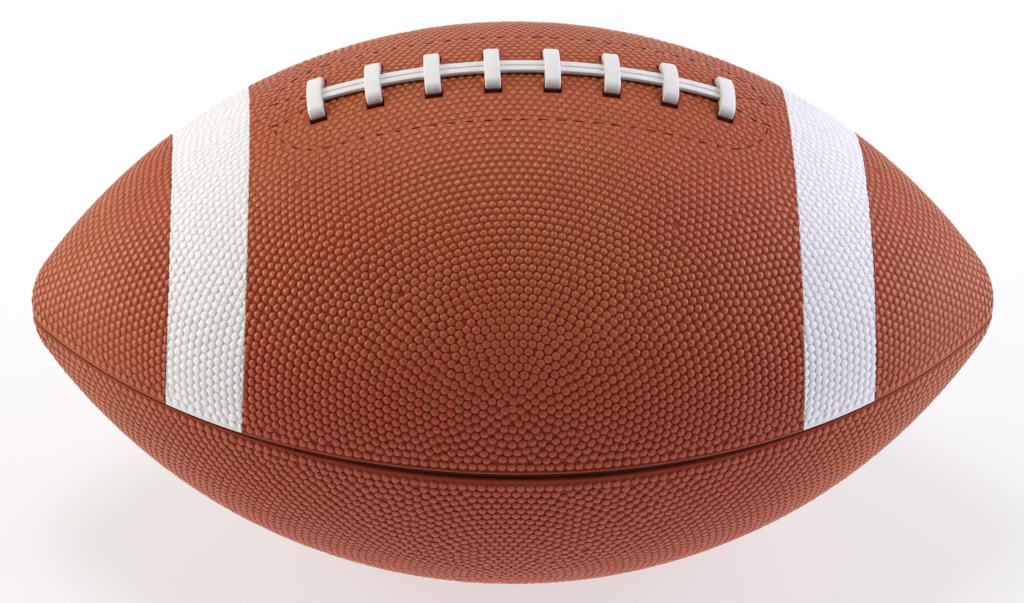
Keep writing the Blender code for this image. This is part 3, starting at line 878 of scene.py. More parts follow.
def cover_tile(name, tile, places, holes, flip, stitched):
    """The closed skin of a tile, and the pebbles on it or across its sides, flipped from the front top."""
    angle, around, size = places
    room, side_room = room_on_tile(tile, surface(angle, around), holes)
    keep = (room > PEBBLE_SMALLEST * PEBBLE_HALF) & (side_room > -PEBBLE_HALF)
    angle, around, size = angle[keep], around[keep], size[keep]
    room, side_room = room[keep], side_room[keep]
    points = surface(angle, around)
    loops = [tile_loop(tile)] + holes
    on_floor = (np.minimum(room, side_room) > RIM_CLEAR) & (-points[:, 1] > RIM_CLEAR)
    floor, triangles = triangulate(loops, angle[on_floor], around[on_floor])
    # Less painted valley shade on the floor where the pebbles are calm
    floor_relief = CALM_FLOOR * calm_share(tile, *floor.T)
    skin = skin_mesh(name, loops, floor, triangles, floor_relief, flip)
    calm = calm_share(tile, angle, around)
    size = np.minimum(size * (1.0 - CALM_SIZE * calm), room / PEBBLE_HALF)
    lift = np.sqrt(size) * (1.0 - CALM_LIFT * calm)
    if tile.seam is STRIPE_SEAM_EDGE:
        lift = lift * STRIPE_LIFT
    if stitched:
        open_share = np.clip(distance_to_path(points, stitch_points(0.0)) / STITCH_CHANNEL, 0.0, 1.0)
        lift = lift * (STITCH_PRESS + (1.0 - STITCH_PRESS) * open_share**2)
    standing = surface(angle, around, VALLEY) * flip
    facing = settle(points)[2] * flip
    return Cover(tile, skin, Pebbles(standing, facing, size, lift, side_room < PEBBLE_HALF))


# Nodes


def node(tree, kind, links=(), **settings):
    """A node with its settings; a link is a socket's name or number, with a source socket or a value."""
    made = tree.nodes.new(kind)
    for key, value in settings.items():
        setattr(made, key, value)
    for socket, source in links:
        if hasattr(source, "node"):
            tree.links.new(source, made.inputs[socket])
        else:
            made.inputs[socket].default_value = source
    return made


def result(tree, kind, links=(), output=0, **settings):
    """One output of a new node."""
    return node(tree, kind, links, **settings).outputs[output]


def math_result(tree, operation, first, second):
    """Two numbers put through a Math node."""
    return result(tree, "ShaderNodeMath", [(0, first), (1, second)], operation=operation)


def mixed_value(tree, share, first, second):
    """A number between two, by a share."""
    return result(tree, "ShaderNodeMix", [(0, share), (2, first), (3, second)], data_type="FLOAT")


def mixed_colour(tree, share, first, second):
    """A colour between two, by a share."""
    return result(tree, "ShaderNodeMix", [(0, share), (6, first), (7, second)], output=2, data_type="RGBA")


def moved_range(tree, value, ends, results):
    """A number moved from one range to another, and kept inside it."""
    links = [(0, value), (1, ends[0]), (2, ends[1]), (3, results[0]), (4, results[1])]
    return result(tree, "ShaderNodeMapRange", links)


# Geometry node trees


def new_tree(name, sockets):
    """A geometry tree with named inputs, and the sockets that hand them out."""
    tree = bpy.data.node_groups.new(name, "GeometryNodeTree")
    for label, kind in (("Geometry", "Geometry"), *sockets):
        tree.interface.new_socket(label, in_out="INPUT", socket_type=f"NodeSocket{kind}")
    tree.interface.new_socket("Geometry", in_out="OUTPUT", socket_type="NodeSocketGeometry")
    return tree, tree.nodes.new("NodeGroupInput").outputs


def end_tree(tree, geometry, material):
    """Ends a geometry tree: instances made real, all in one material."""
    real = result(tree, "GeometryNodeRealizeInstances", [(0, geometry)])
    painted = result(tree, "GeometryNodeSetMaterial", [(0, real), ("Material", material)])
    tree.links.new(painted, tree.nodes.new("NodeGroupOutput").inputs[0])
    return tree


def stored(tree, label, kind):
    """A number or vector stored on the points."""
    return result(tree, "GeometryNodeInputNamedAttribute", [("Name", label)], data_type=kind)


def shape_of(tree, source):
    """The geometry of an object input."""
    links = [("Object", source)]
    return result(tree, "GeometryNodeObjectInfo", links, "Geometry", transform_space="ORIGINAL")


def random_between(tree, seed, least, most):
    """A random number for each point or instance."""
    links = [(2, least), (3, most), ("Seed", seed)]
    return result(tree, "FunctionNodeRandomValue", links, output=1, data_type="FLOAT")


def set_on_points(tree, points, shape, rotation, scale):
    """A copy of a shape on every point."""
    links = [("Points", points), ("Instance", shape), ("Rotation", rotation), ("Scale", scale)]
    return result(tree, "GeometryNodeInstanceOnPoints", links)


def grown(obj, tree, values):
    """The plain mesh that a tree makes of an object, with its named inputs set; the object goes."""
    modifier = obj.modifiers.new(tree.name, "NODES")
    modifier.node_group = tree
    for item in tree.interface.items_tree:
        if item.in_out == "INPUT" and item.name in values:
            modifier[item.identifier] = values[item.name]
    evaluated = obj.evaluated_get(bpy.context.evaluated_depsgraph_get())
    mesh = bpy.data.meshes.new_from_object(evaluated)
    obj.modifiers.remove(modifier)
    bpy.data.objects.remove(obj)
    return mesh


def pebble_tree():
    """A pebble on every point, each a little different in height and tone."""
    sockets = [
        ("Pebble", "Object"),
        ("Half Size", "Float"),
        ("Height", "Float"),
        ("Height Spread", "Float"),
        ("Seed", "Int"),
        ("Material", "Material"),
    ]
    tree, given = new_tree("pebble_rows", sockets)
    facing = stored(tree, "facing", "FLOAT_VECTOR")
    upright = result(tree, "FunctionNodeAlignRotationToVector", [("Vector", facing)], axis="Z")
    least = math_result(tree, "SUBTRACT", 1.0, given["Height Spread"])
    most = math_result(tree, "ADD", 1.0, given["Height Spread"])
    vary = random_between(tree, given["Seed"], least, most)
    wide = math_result(tree, "MULTIPLY", stored(tree, "size", "FLOAT"), given["Half Size"])
    tall = math_result(tree, "MULTIPLY", stored(tree, "lift", "FLOAT"), given["Height"])
    varied = math_result(tree, "MULTIPLY", tall, vary)
    scale = result(tree, "ShaderNodeCombineXYZ", [(0, wide), (1, wide), (2, varied)])
    placed = set_on_points(tree, given["Geometry"], shape_of(tree, given["Pebble"]), upright, scale)
    tone = random_between(tree, math_result(tree, "ADD", given["Seed"], 1.0), 0.0, 1.0)
    toned = result(
        tree,
        "GeometryNodeStoreNamedAttribute",
        [("Geometry", placed), ("Name", "tone"), ("Value", tone)],
        data_type="FLOAT",
        domain="INSTANCE",
    )
    return end_tree(tree, toned, given["Material"])


def pebble_shape():
    """One pebble: a low round dome, two wide and one high."""
    turns = [2 * pi * i / PEBBLE_SIDES for i in range(PEBBLE_SIDES)]
    points = []
    relief = []
    for share, height, crown in PEBBLE_RINGS:
        points += [(share * cos(turn), share * sin(turn), height) for turn in turns]
        relief += [crown] * PEBBLE_SIDES
    faces = [tuple(reversed(range(PEBBLE_SIDES)))]
    for ring in range(len(PEBBLE_RINGS) - 1):
        low = ring * PEBBLE_SIDES
        high = low + PEBBLE_SIDES
        for i in range(PEBBLE_SIDES):
            j = (i + 1) % PEBBLE_SIDES
            faces.append((low + i, low + j, high + j, high + i))
    faces.append(tuple(range(len(points) - PEBBLE_SIDES, len(points))))
    mesh = mesh_from("pebble", points, faces, {"relief": relief})
    mesh.shade_smooth()
    return put_object("pebble", mesh)


PEBBLE_TREE = pebble_tree()
PEBBLE = pebble_shape()


def grown_pebbles(name, pebbles, chosen, material, seed):
    """The mesh of the chosen pebbles."""
    attributes = {
        "facing": pebbles.facing[chosen],
        "size": pebbles.size[chosen],
        "lift": pebbles.lift[chosen],
        "worn": wear_and_light_share(pebbles.points[chosen]),
    }
    holder = put_object(name, mesh_from(name, pebbles.points[chosen], [], attributes))
    values = {
        "Pebble": PEBBLE,
        "Half Size": PEBBLE_HALF,
        "Height": PEBBLE_HEIGHT,
        "Height Spread": PEBBLE_HEIGHT_SPREAD,
        "Seed": seed,
        "Material": material,
    }
    return grown(holder, PEBBLE_TREE, values)


def merged(name, meshes, material):
    """Several meshes as one, with their attributes kept."""
    parts = {f"Part {i}": put_object(f"{name}_{i}", mesh) for i, mesh in enumerate(meshes)}
    sockets = [(label, "Object") for label in parts]
    tree, given = new_tree(f"{name}_joined", [*sockets, ("Material", "Material")])
    joined = node(tree, "GeometryNodeJoinGeometry")
    for label in parts:
        tree.links.new(shape_of(tree, given[label]), joined.inputs[0])
    end_tree(tree, joined.outputs[0], given["Material"])
    holder = put_object(name, bpy.data.meshes.new(name))
    mesh = grown(holder, tree, {**parts, "Material": material})
    for part in parts.values():
        bpy.data.objects.remove(part)
    return mesh


# Materials


def new_group(name, inputs, outputs):
    """A shader group with named inputs and outputs, and the sockets inside it."""
    group = bpy.data.node_groups.new(name, "ShaderNodeTree")
    for label, kind, value in inputs:
        socket = group.interface.new_socket(label, in_out="INPUT", socket_type=f"NodeSocket{kind}")
        socket.default_value = value
    for label, kind in outputs:
        group.interface.new_socket(label, in_out="OUTPUT", socket_type=f"NodeSocket{kind}")
    return group, group.nodes.new("NodeGroupInput").outputs, group.nodes.new("NodeGroupOutput").inputs


def noise(group, scale, detail, roughness):
    """Noise on the piece's own coordinates."""
    place = result(group, "ShaderNodeTexCoord", output="Object")
    links = [("Vector", place), ("Scale", scale), ("Detail", detail), ("Roughness", roughness)]
    return result(group, "ShaderNodeTexNoise", links)


def rubber_grain_group():
    """Fine grain of moulded rubber: a height for bump and a change of roughness."""
    group, given, out = new_group(
        "rubber_grain",
        [("Scale", "Float", 1500.0), ("Roughness", "Float", 0.45), ("Spread", "Float", 0.1)],
        [("Height", "Float"), ("Roughness", "Float")],
    )
    fine = noise(group, given["Scale"], detail=4.0, roughness=0.6)
    broad_scale = math_result(group, "MULTIPLY", given["Scale"], BROAD_GRAIN_SHARE)
    broad = noise(group, broad_scale, detail=3.0, roughness=0.5)
    swing = math_result(group, "SUBTRACT", broad, NOISE_MEAN)
    change = math_result(group, "MULTIPLY", swing, given["Spread"])
    group.links.new(fine, out["Height"])
    group.links.new(math_result(group, "ADD", change, given["Roughness"]), out["Roughness"])
    return group


def uneven_colour_group():
    """A colour that drifts slowly over the piece, as handled rubber does."""
    group, given, out = new_group(
        "uneven_colour",
        [
            ("Color", "Color", MIDDLE_GREY),
            ("Worn Color", "Color", MIDDLE_GREY),
            ("Scale", "Float", 25.0),
            ("Amount", "Float", 0.3),
        ],
        [("Color", "Color")],
    )
    clouds = noise(group, given["Scale"], detail=5.0, roughness=0.5)
    share = math_result(group, "MULTIPLY", clouds, given["Amount"])
    group.links.new(mixed_colour(group, share, given["Color"], given["Worn Color"]), out["Color"])
    return group


def pebble_shade_group():
    """Colour and roughness from the valley to a pebble's crown, the valleys darkened with painted shade,
    and each pebble a little different.
    """
    group, given, out = new_group(
        "pebble_shade",
        [
            ("Relief", "Float", 1.0),
            ("Valley Color", "Color", MIDDLE_GREY),
            ("Crown Color", "Color", MIDDLE_GREY),
            ("Crown Roughness", "Float", 0.5),
            ("Tone", "Float", MIDDLE_TONE),
            ("Tone Spread", "Float", 0.05),
        ],
        [("Color", "Color"), ("Roughness", "Float")],
    )
    shaded = mixed_colour(group, given["Relief"], given["Valley Color"], given["Crown Color"])
    darkest = math_result(group, "SUBTRACT", 1.0, given["Tone Spread"])
    lightest = math_result(group, "ADD", 1.0, given["Tone Spread"])
    value = moved_range(group, given["Tone"], (0.0, 1.0), (darkest, lightest))
    toned = result(group, "ShaderNodeHueSaturation", [("Value", value), ("Color", shaded)])
    roughnesses = (VALLEY_ROUGHNESS, given["Crown Roughness"])
    group.links.new(toned, out["Color"])
    group.links.new(moved_range(group, given["Relief"], (0.0, 1.0), roughnesses), out["Roughness"])
    return group


def thread_weave_group():
    """Threads laid side by side: their colour, with darker gaps, and a height for bump."""
    group, given, out = new_group(
        "thread_weave",
        [
            ("Thread Color", "Color", MIDDLE_GREY),
            ("Gap Color", "Color", MIDDLE_GREY),
            ("Turns", "Float", 400.0),
        ],
        [("Color", "Color"), ("Height", "Float")],
    )
    place = result(group, "ShaderNodeTexCoord", output="Object")
    links = [("Vector", place), ("Scale", given["Turns"]), ("Distortion", 1.5), ("Detail", 2.0)]
    wave = result(group, "ShaderNodeTexWave", links, output="Fac")
    group.links.new(mixed_colour(group, wave, given["Gap Color"], given["Thread Color"]), out["Color"])
    group.links.new(wave, out["Height"])
    return group


GRAIN = rubber_grain_group()
UNEVEN = uneven_colour_group()
PEBBLE_SHADE = pebble_shade_group()
WEAVE = thread_weave_group()


def new_material(name):
    """A material with its node tree and its shader."""
    material = bpy.data.materials.new(name)
    material.use_nodes = True
    return material, material.node_tree, material.node_tree.nodes["Principled BSDF"]


def attribute(tree, label):
    """A number stored on a mesh, for its material."""
    return result(tree, "ShaderNodeAttribute", output="Fac", attribute_name=label)


def uneven_colour(tree, colour, worn, scale, amount):
    """A colour with clouds of a worn one."""
    links = [("Color", colour), ("Worn Color", worn), ("Scale", scale), ("Amount", amount)]
    return result(tree, "ShaderNodeGroup", links, node_tree=UNEVEN)


def bump_on(tree, shader, height, strength):
    """Fine bump on a shader."""
    links = [("Height", height), ("Strength", strength), ("Distance", GRAIN_DEPTH)]
    tree.links.new(result(tree, "ShaderNodeBump", links), shader.inputs["Normal"])


def grain_on(tree, shader, scale, roughness, spread, strength):
    """Fine bump and uneven roughness on a shader."""
    links = [("Scale", scale), ("Roughness", roughness), ("Spread", spread)]
    grain = node(tree, "ShaderNodeGroup", links, node_tree=GRAIN).outputs
    tree.links.new(grain["Roughness"], shader.inputs["Roughness"])
    bump_on(tree, shader, grain["Height"], strength)


def pebbled_rubber(name, valley, crown, worn, roughness, tone_spread):
    """Rubber with painted shade in the valleys between pebbles, with each pebble a little different."""
    material, tree, shader = new_material(name)
    # Painted light: clouds of the crowns' second colour, faint everywhere and strong towards the laces and
    # the tips, where on the brown it stands for the lamps' light
    amount = moved_range(tree, attribute(tree, "worn"), (0.0, 1.0), WEAR_AND_LIGHT_AMOUNT)
    links = [
        ("Relief", attribute(tree, "relief")),
        ("Valley Color", valley),
        ("Crown Color", uneven_colour(tree, crown, worn, scale=22.0, amount=amount)),
        ("Crown Roughness", roughness),
        ("Tone", attribute(tree, "tone")),
        ("Tone Spread", tone_spread),
    ]
    shade = node(tree, "ShaderNodeGroup", links, node_tree=PEBBLE_SHADE).outputs
    tree.links.new(shade["Color"], shader.inputs["Base Color"])
    shader.inputs["Specular IOR Level"].default_value = 0.38
    shader.inputs["Sheen Weight"].default_value = 0.10
    shader.inputs["Sheen Roughness"].default_value = 0.35
    shader.inputs["Sheen Tint"].default_value = (1.0, 0.93, 0.93, 1.0)
    grain_on(tree, shader, scale=2200.0, roughness=shade["Roughness"], spread=0.16, strength=0.25)
    return material


def plain_rubber(name, colour, worn, roughness, cloud_scale, cloud_amount, grain_scale, grain_strength):
    """Smooth rubber with faint clouds and a fine grain."""
    material, tree, shader = new_material(name)
    uneven = uneven_colour(tree, colour, worn, cloud_scale, cloud_amount)
    tree.links.new(uneven, shader.inputs["Base Color"])
    shader.inputs["Specular IOR Level"].default_value = 0.2
    grain_on(tree, shader, grain_scale, roughness, spread=0.12, strength=grain_strength)
    return material


def lace_rubber(name, colour, worn, slot_shade, roughness):
    """Smooth rubber that is dark below the ball's surface, painted shade where the lace's feet sit in the
    slots.
    """
    material, tree, shader = new_material(name)
    uneven = uneven_colour(tree, colour, worn, scale=160.0, amount=0.5)
    # Painted shade on the feet inside the slots
    slot_shaded = mixed_colour(tree, attribute(tree, "sunk"), uneven, slot_shade)
    tree.links.new(slot_shaded, shader.inputs["Base Color"])
    grain_on(tree, shader, scale=1800.0, roughness=roughness, spread=0.12, strength=0.2)
    return material


def woven_thread(name, colour, gap_colour, turns, roughness):
    """Wound or woven thread, for the layers inside the cover."""
    material, tree, shader = new_material(name)
    links = [("Thread Color", colour), ("Gap Color", gap_colour), ("Turns", turns)]
    weave = node(tree, "ShaderNodeGroup", links, node_tree=WEAVE).outputs
    tree.links.new(weave["Color"], shader.inputs["Base Color"])
    bump_on(tree, shader, weave["Height"], strength=0.5)
    shader.inputs["Roughness"].default_value = roughness
    return material


BROWN = pebbled_rubber(
    "brown_pebbled_rubber",
    # painted shade in the valleys between pebbles
    valley=(0.24, 0.020, 0.004, 1.0),
    crown=(0.395, 0.050, 0.010, 1.0),
    # painted light: the lighter, golden crown colour where the lamps fall most
    worn=(0.455, 0.124, 0.029, 1.0),
    roughness=0.25,
    tone_spread=0.05,
)
WHITE = pebbled_rubber(
    "white_stripe_rubber",
    # painted shade in the valleys between pebbles
    valley=(0.70, 0.695, 0.69, 1.0),
    crown=(0.77, 0.765, 0.76, 1.0),
    worn=(0.75, 0.74, 0.73, 1.0),
    roughness=0.50,
    tone_spread=0.02,
)
CREAM = lace_rubber(
    "cream_lace_rubber",
    colour=(0.72, 0.715, 0.69, 1.0),
    worn=(0.62, 0.61, 0.58, 1.0),
    # painted shade on the lace's feet inside the slots
    slot_shade=(0.19, 0.028, 0.013, 1.0),
    roughness=0.45,
)
# Painted shade: the seam strips are near black for the shade deep in the grooves
DARK_SEAM = plain_rubber(
    "dark_seam_rubber",
    colour=(0.030, 0.008, 0.005, 1.0),
    worn=(0.06, 0.016, 0.009, 1.0),
    roughness=0.8,
    cloud_scale=90.0,
    cloud_amount=0.6,
    grain_scale=2000.0,
    grain_strength=0.2,
)
# Painted shade: the stitches are near black for the shade in their pressed grooves
STITCH = plain_rubber(
    "dark_stitch_rubber",
    colour=(0.045, 0.012, 0.005, 1.0),
    worn=(0.16, 0.04, 0.014, 1.0),
    roughness=0.85,
    cloud_scale=300.0,
    cloud_amount=0.9,
    grain_scale=2500.0,
    grain_strength=0.2,
)
BLACK = plain_rubber(
    "black_valve_rubber",
    colour=(0.022, 0.021, 0.02, 1.0),
    worn=(0.045, 0.043, 0.04, 1.0),
    roughness=0.48,
    cloud_scale=150.0,
    cloud_amount=0.6,
    grain_scale=1600.0,
    grain_strength=0.2,
)
BUTYL = plain_rubber(
    "black_bladder_butyl",
    colour=(0.02, 0.02, 0.02, 1.0),
    worn=(0.04, 0.04, 0.04, 1.0),
    roughness=0.45,
    cloud_scale=40.0,
    cloud_amount=0.6,
    grain_scale=900.0,
    grain_strength=0.15,
)
WINDING = woven_thread(
    "wound_nylon",
    colour=(0.10, 0.095, 0.085, 1.0),
    gap_colour=(0.03, 0.028, 0.026, 1.0),
    turns=500.0,
    roughness=0.75,
)
PATCH = woven_thread(
    "patch_cloth",
    colour=(0.48, 0.060, 0.026, 1.0),
    gap_colour=(0.26, 0.034, 0.014, 1.0),
    turns=380.0,
    roughness=0.85,
)


# Pieces of the ball


def in_one_material(mesh, material):
    """A mesh with one material for all its faces."""
    mesh.materials.clear()
    mesh.materials.append(material)
    return mesh


def add_piece(name, mesh, material, slot, *nodes):
    """A finished piece that rides on the ball and stands for its CAD nodes, if it has any."""
    piece = put_object(name, in_one_material(mesh, material))
    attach(piece, "root")
    if nodes:
        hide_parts(*nodes)


def joined_pebbles(covers):
    """The pebbles of several tiles together."""
    return Pebbles(*[np.concatenate(parts) for parts in zip(*[cover.pebbles for cover in covers])])


def written(shape, mesh):
    """A mesh that takes over an edited shape."""
    shape.to_mesh(mesh)
    shape.free()
    return mesh


def trimmed(mesh, tile):
    """Pebbles cut off flat at a tile's sides, each closed again."""
    shape = bmesh.new()
    shape.from_mesh(mesh)
    for start, to_left in zip(side_starts(tile, 1.0), (True, False)):
        if start is None:
            continue
        bmesh.ops.bisect_plane(
            shape,
            geom=[*shape.verts, *shape.edges, *shape.faces],
            dist=CUT_TOLERANCE,
            plane_co=(start, 0.0, 0.0),
            plane_no=(1.0, 0.0, float(np.sign(start)) * STRIPE_LEAN),
            clear_inner=to_left,
            clear_outer=not to_left,
        )
        bmesh.ops.holes_fill(shape, edges=[edge for edge in shape.edges if edge.is_boundary])
    return written(shape, mesh)


def pebble_meshes(name, covers, chosen_side, material, seed):
    """Meshes of all pebbles on one side of half length: whole ones, and those cut at a tile's sides."""
    pebbles = joined_pebbles(covers)
    whole = ~pebbles.cut & (chosen_side * pebbles.points[:, 0] > 0.0)
    meshes = [grown_pebbles(name, pebbles, whole, material, seed)]
    for number, cover in enumerate(covers):
        own = cover.pebbles
        chosen = own.cut & (chosen_side * own.points[:, 0] > 0.0)
        if chosen.any():
            uncut = grown_pebbles(f"{name}_cut_{number}", own, chosen, material, seed + number)
            meshes.append(trimmed(uncut, cover.tile))
    return meshes


def add_panel(name, covers, seed):
    """A brown panel: one skin piece, and its pebbles in a left and a right piece."""
    skin = merged(f"{name}_skin", [cover.skin for cover in covers], BROWN)
    add_piece(f"{name}_skin", skin, BROWN, "cover_rubber", name)
    for hand, chosen_side in HANDS:
        piece = f"{name}_pebbles_{hand}"
        pebbles = pebble_meshes(f"{piece}_whole", covers, chosen_side, BROWN, seed)
        add_piece(piece, merged(piece, pebbles, BROWN), BROWN, "cover_rubber", name)


def upper_tiles():
    """Tiles of an upper panel and its stripes, by their place along the ball."""
    brown = (UPPER_SEAM_EDGE, TOP_EDGE)
    white = (STRIPE_EDGE, STRIPE_EDGE, STRIPE_SEAM_EDGE, TOP_EDGE)
    return {
        "left_end": Tile(None, -STRIPE_END, None, CUT_EDGE, *brown),
        "middle": Tile(-STRIPE_START, STRIPE_START, CUT_EDGE, CUT_EDGE, *brown),
        "right_end": Tile(STRIPE_END, None, CUT_EDGE, None, *brown),
        "left_stripe": Tile(-STRIPE_END, -STRIPE_START, *white),
        "right_stripe": Tile(STRIPE_START, STRIPE_END, *white),
    }


def build_upper_panel(face, side, near_top, seed):
    """An upper panel and its stripes; returns its pebbles near the top line, for the other to clear."""
    flip = np.array([1.0, side, 1.0])
    places = pebble_places(UPPER_WHORL, [(UPPER_SEAM_EDGE, False)], near_top * flip)
    made = {}
    for place, tile in upper_tiles().items():
        middle = place == "middle"
        holes = slot_loops() if middle else []
        made[place] = cover_tile(f"upper_{face}_{place}", tile, places, holes, flip, middle)
    add_panel(f"panel_upper_{face}", [made[place] for place in ("left_end", "middle", "right_end")], seed)
    for hand, chosen_side in HANDS:
        cover = made[f"{hand}_stripe"]
        name = f"pebbled_stripe_{face}_{hand}"
        pebbles = pebble_meshes(f"{name}_pebbles", [cover], chosen_side, WHITE, seed)
        mesh = merged(name, [cover.skin, *pebbles], WHITE)
        add_piece(name, mesh, WHITE, "stripe_rubber", f"stripe_{face}_{hand}")
    placed = joined_pebbles(made.values()).points
    return placed[(np.abs(placed[:, 1]) < ROW_OVERLAP) & (placed[:, 2] > 0.0)]


def build_lower_panel(face, side, seed):
    """A lower panel in one tile, the rear one with the valve's hole."""
    edges = [(LOWER_SEAM_EDGE, False), (LOWER_SEAM_EDGE, True)]
    places = pebble_places(LOWER_WHORL, edges, np.zeros((0, 3)))
    holes = valve_loops() if face == "rear" else []
    tile = Tile(None, None, None, None, LOWER_SEAM_EDGE, LOWER_SEAM_EDGE)
    cover = cover_tile(f"lower_{face}", tile, places, holes, np.array([1.0, side, -1.0]), False)
    add_panel(f"panel_lower_{face}", [cover], seed)


def build_cover():
    """Four panels of pebbled rubber, the upper two split by their white stripes."""
    near_top = np.zeros((0, 3))
    for number, (face, side) in enumerate(FACES):
        seed = RANDOM_SEED + FACE_SEED_STEP * number
        near_top = build_upper_panel(face, side, near_top, seed)
        build_lower_panel(face, side, seed + LOWER_SEED_STEP)
    bpy.data.objects.remove(PEBBLE)


def poly_curve(name, points, dimensions, closed, sizes=None):
    """A curve of straight lines through points in a plane or in space."""
    curve = bpy.data.curves.new(name, "CURVE")
    curve.dimensions = dimensions
    spline = curve.splines.new("POLY")
    spline.points.add(len(points) - 1)
    for i, place in enumerate(points):
        spline.points[i].co = (*place, 1.0) if len(place) == 3 else (*place, 0.0, 1.0)
        spline.points[i].radius = sizes[i] if sizes else 1.0
    spline.use_cyclic_u = closed
    return curve


def rounded_section(name, width, thickness, rounding):
    """A closed curve with round corners, thickness along X and width along Y."""
    x = thickness / 2 - rounding
    y = width / 2 - rounding
    points = []
    for quarter, (cx, cy) in enumerate(((x, y), (-x, y), (-x, -y), (x, -y))):
        for step in range(SECTION_CORNER_STEPS + 1):
            turn = (quarter + step / SECTION_CORNER_STEPS) * pi / 2
            points.append((cx + rounding * cos(turn), cy + rounding * sin(turn)))
    return put_object(name, poly_curve(name, points, "2D", True))


def curve_mesh(name, curve):
    """The closed, smooth mesh of a curve."""
    holder = put_object(name, curve)
    mesh = bpy.data.meshes.new_from_object(holder.evaluated_get(bpy.context.evaluated_depsgraph_get()))
    bpy.data.objects.remove(holder)
    shape = bmesh.new()
    shape.from_mesh(mesh)
    bmesh.ops.remove_doubles(shape, verts=shape.verts, dist=MERGE_DISTANCE)
    bmesh.ops.recalc_face_normals(shape, faces=shape.faces)
    return smoothed(written(shape, mesh), CURVE_SHARP)


def swept(name, path, section, matrix, closed=False, sizes=None):
    """A mesh of a section drawn along a path in the XY plane, then placed by a matrix."""
    curve = poly_curve(name, path, "3D", closed, sizes)
    curve.twist_mode = "Z_UP"
    curve.bevel_mode = "OBJECT"
    curve.bevel_object = section
    curve.use_fill_caps = not closed
    mesh = curve_mesh(name, curve)
    mesh.transform(matrix)
    return mesh


def turn_points(centre, radius, last, steps):
    """Points of an arc from the +X side towards +Y."""
    angles = [last * i / steps for i in range(steps + 1)]
    return [(centre[0] + radius * cos(a), centre[1] + radius * sin(a)) for a in angles]


def add_lace(name, mesh, cad_node):
    """A lace, marked for the painted shade on what lies below the ball's surface."""
    points = np.empty(len(mesh.vertices) * 3, np.float32)
    mesh.vertices.foreach_get("co", points)
    points = points.reshape(-1, 3).astype(float)
    angle, around, normal = settle(points)
    height = np.sum((points - surface(angle, around)) * normal, axis=1)
    layer = mesh.attributes.new("sunk", "FLOAT", "POINT")
    layer.data.foreach_set("value", ramp(height, LACE_DARK).astype(np.float32))
    add_piece(name, mesh, CREAM, "lace_rubber", cad_node)


def drop_beside_top(across):
    """How far the ball's surface falls from its top line, this far across from it."""
    return BALL_RADIUS - (BALL_RADIUS**2 - across**2) ** 0.5


def cross_lace_profile():
    """A bar seen along the top line: a low arch on two legs, with a tunnel for the long laces."""
    half = LACE_SPAN / 2
    ground = -drop_beside_top(half)
    tunnel = LONG_LACE_GAP / 2 + LONG_LACE_WIDTH + LACE_BED
    top = LACE_UNDERSIDE + LACE_THICKNESS
    corner = LACE_SHOULDER
    slope_run = half - corner + corner * sin(LACE_SLOPE) - tunnel
    shoulder = top - slope_run * tan(LACE_SLOPE) - corner * cos(LACE_SLOPE)
    crest_slope = tan(LACE_SLOPE) * LACE_CREST_SLOPE
    outside = [(half, ground - depth) for depth in LACE_FOOT_DEPTHS]
    outside += turn_points((half - corner, shoulder), corner, pi / 2 - LACE_SLOPE, LACE_SHOULDER_STEPS)
    outside += [(tunnel + ease, top - ease * crest_slope) for ease in LACE_CREST_EASES]
    outside += [(tunnel - LACE_CREST_INSET, top)]
    leg = half - LACE_THICKNESS
    inside = [(tunnel, LACE_UNDERSIDE)]
    inside += [(across, LACE_BED - drop_beside_top(across)) for across in (tunnel, leg)]
    inside += [(leg, ground - LACE_FOOT_DEPTHS[0])]
    other_outside = [(-x, y) for x, y in reversed(outside)]
    other_inside = [(-x, y) for x, y in reversed(inside)]
    return outside + other_outside + other_inside + inside


def bar_mesh(name):
    """A moulded bar, its profile drawn out to the lace's width with round edges."""
    curve = poly_curve(name, cross_lace_profile(), "2D", True)
    curve.fill_mode = "BOTH"
    curve.extrude = LACE_WIDTH / 2 - LACE_EDGE
    curve.bevel_depth = LACE_EDGE
    curve.bevel_resolution = LACE_EDGE_STEPS
    curve.offset = -LACE_EDGE
    return curve_mesh(name, curve)


def build_cross_laces():
    """Eight moulded bars over the long laces, with their feet in the slots."""
    for number, angle in enumerate(lace_angles(), start=1):
        name = f"cross_lace_bar_{number}"
        mesh = bar_mesh(name)
        mesh.transform(lace_frame(angle))
        add_lace(name, mesh, f"cross_lace_{number}")


def build_long_laces():
    """Two strips side by side along the top line, that dip under the end bars."""
    section = rounded_section("long_lace_section", LONG_LACE_WIDTH, LONG_LACE_THICKNESS, LONG_LACE_EDGE)
    end = (LACE_COUNT - 1) / 2 * LACE_PITCH
    height = LONG_LACE_BED + LONG_LACE_THICKNESS / 2
    corner = LONG_LACE_CORNER
    dip = [(end, -LONG_LACE_FOOT)]
    dip += turn_points((end - corner, height - corner), corner, pi / 2, LONG_LACE_CORNER_STEPS)
    shares = [1 - 2 * i / LONG_LACE_STEPS for i in range(1, LONG_LACE_STEPS)]
    run = [((end - corner) * share, height) for share in shares]
    flat = dip + run + [(-along, up) for along, up in reversed(dip)]
    path = []
    for along, up in flat:
        x, away = outline(along / MAIN_RADIUS, up)
        path.append((float(x), float(away)))
    for face, side in FACES:
        shift = -side * (LONG_LACE_WIDTH + LONG_LACE_GAP) / 2
        matrix = Matrix.Translation((0.0, shift, 0.0)) @ Matrix.Rotation(pi / 2, 4, "X")
        name = f"long_lace_strip_{face}"
        add_lace(name, swept(name, path, section, matrix), f"long_lace_{face}")
    bpy.data.objects.remove(section)


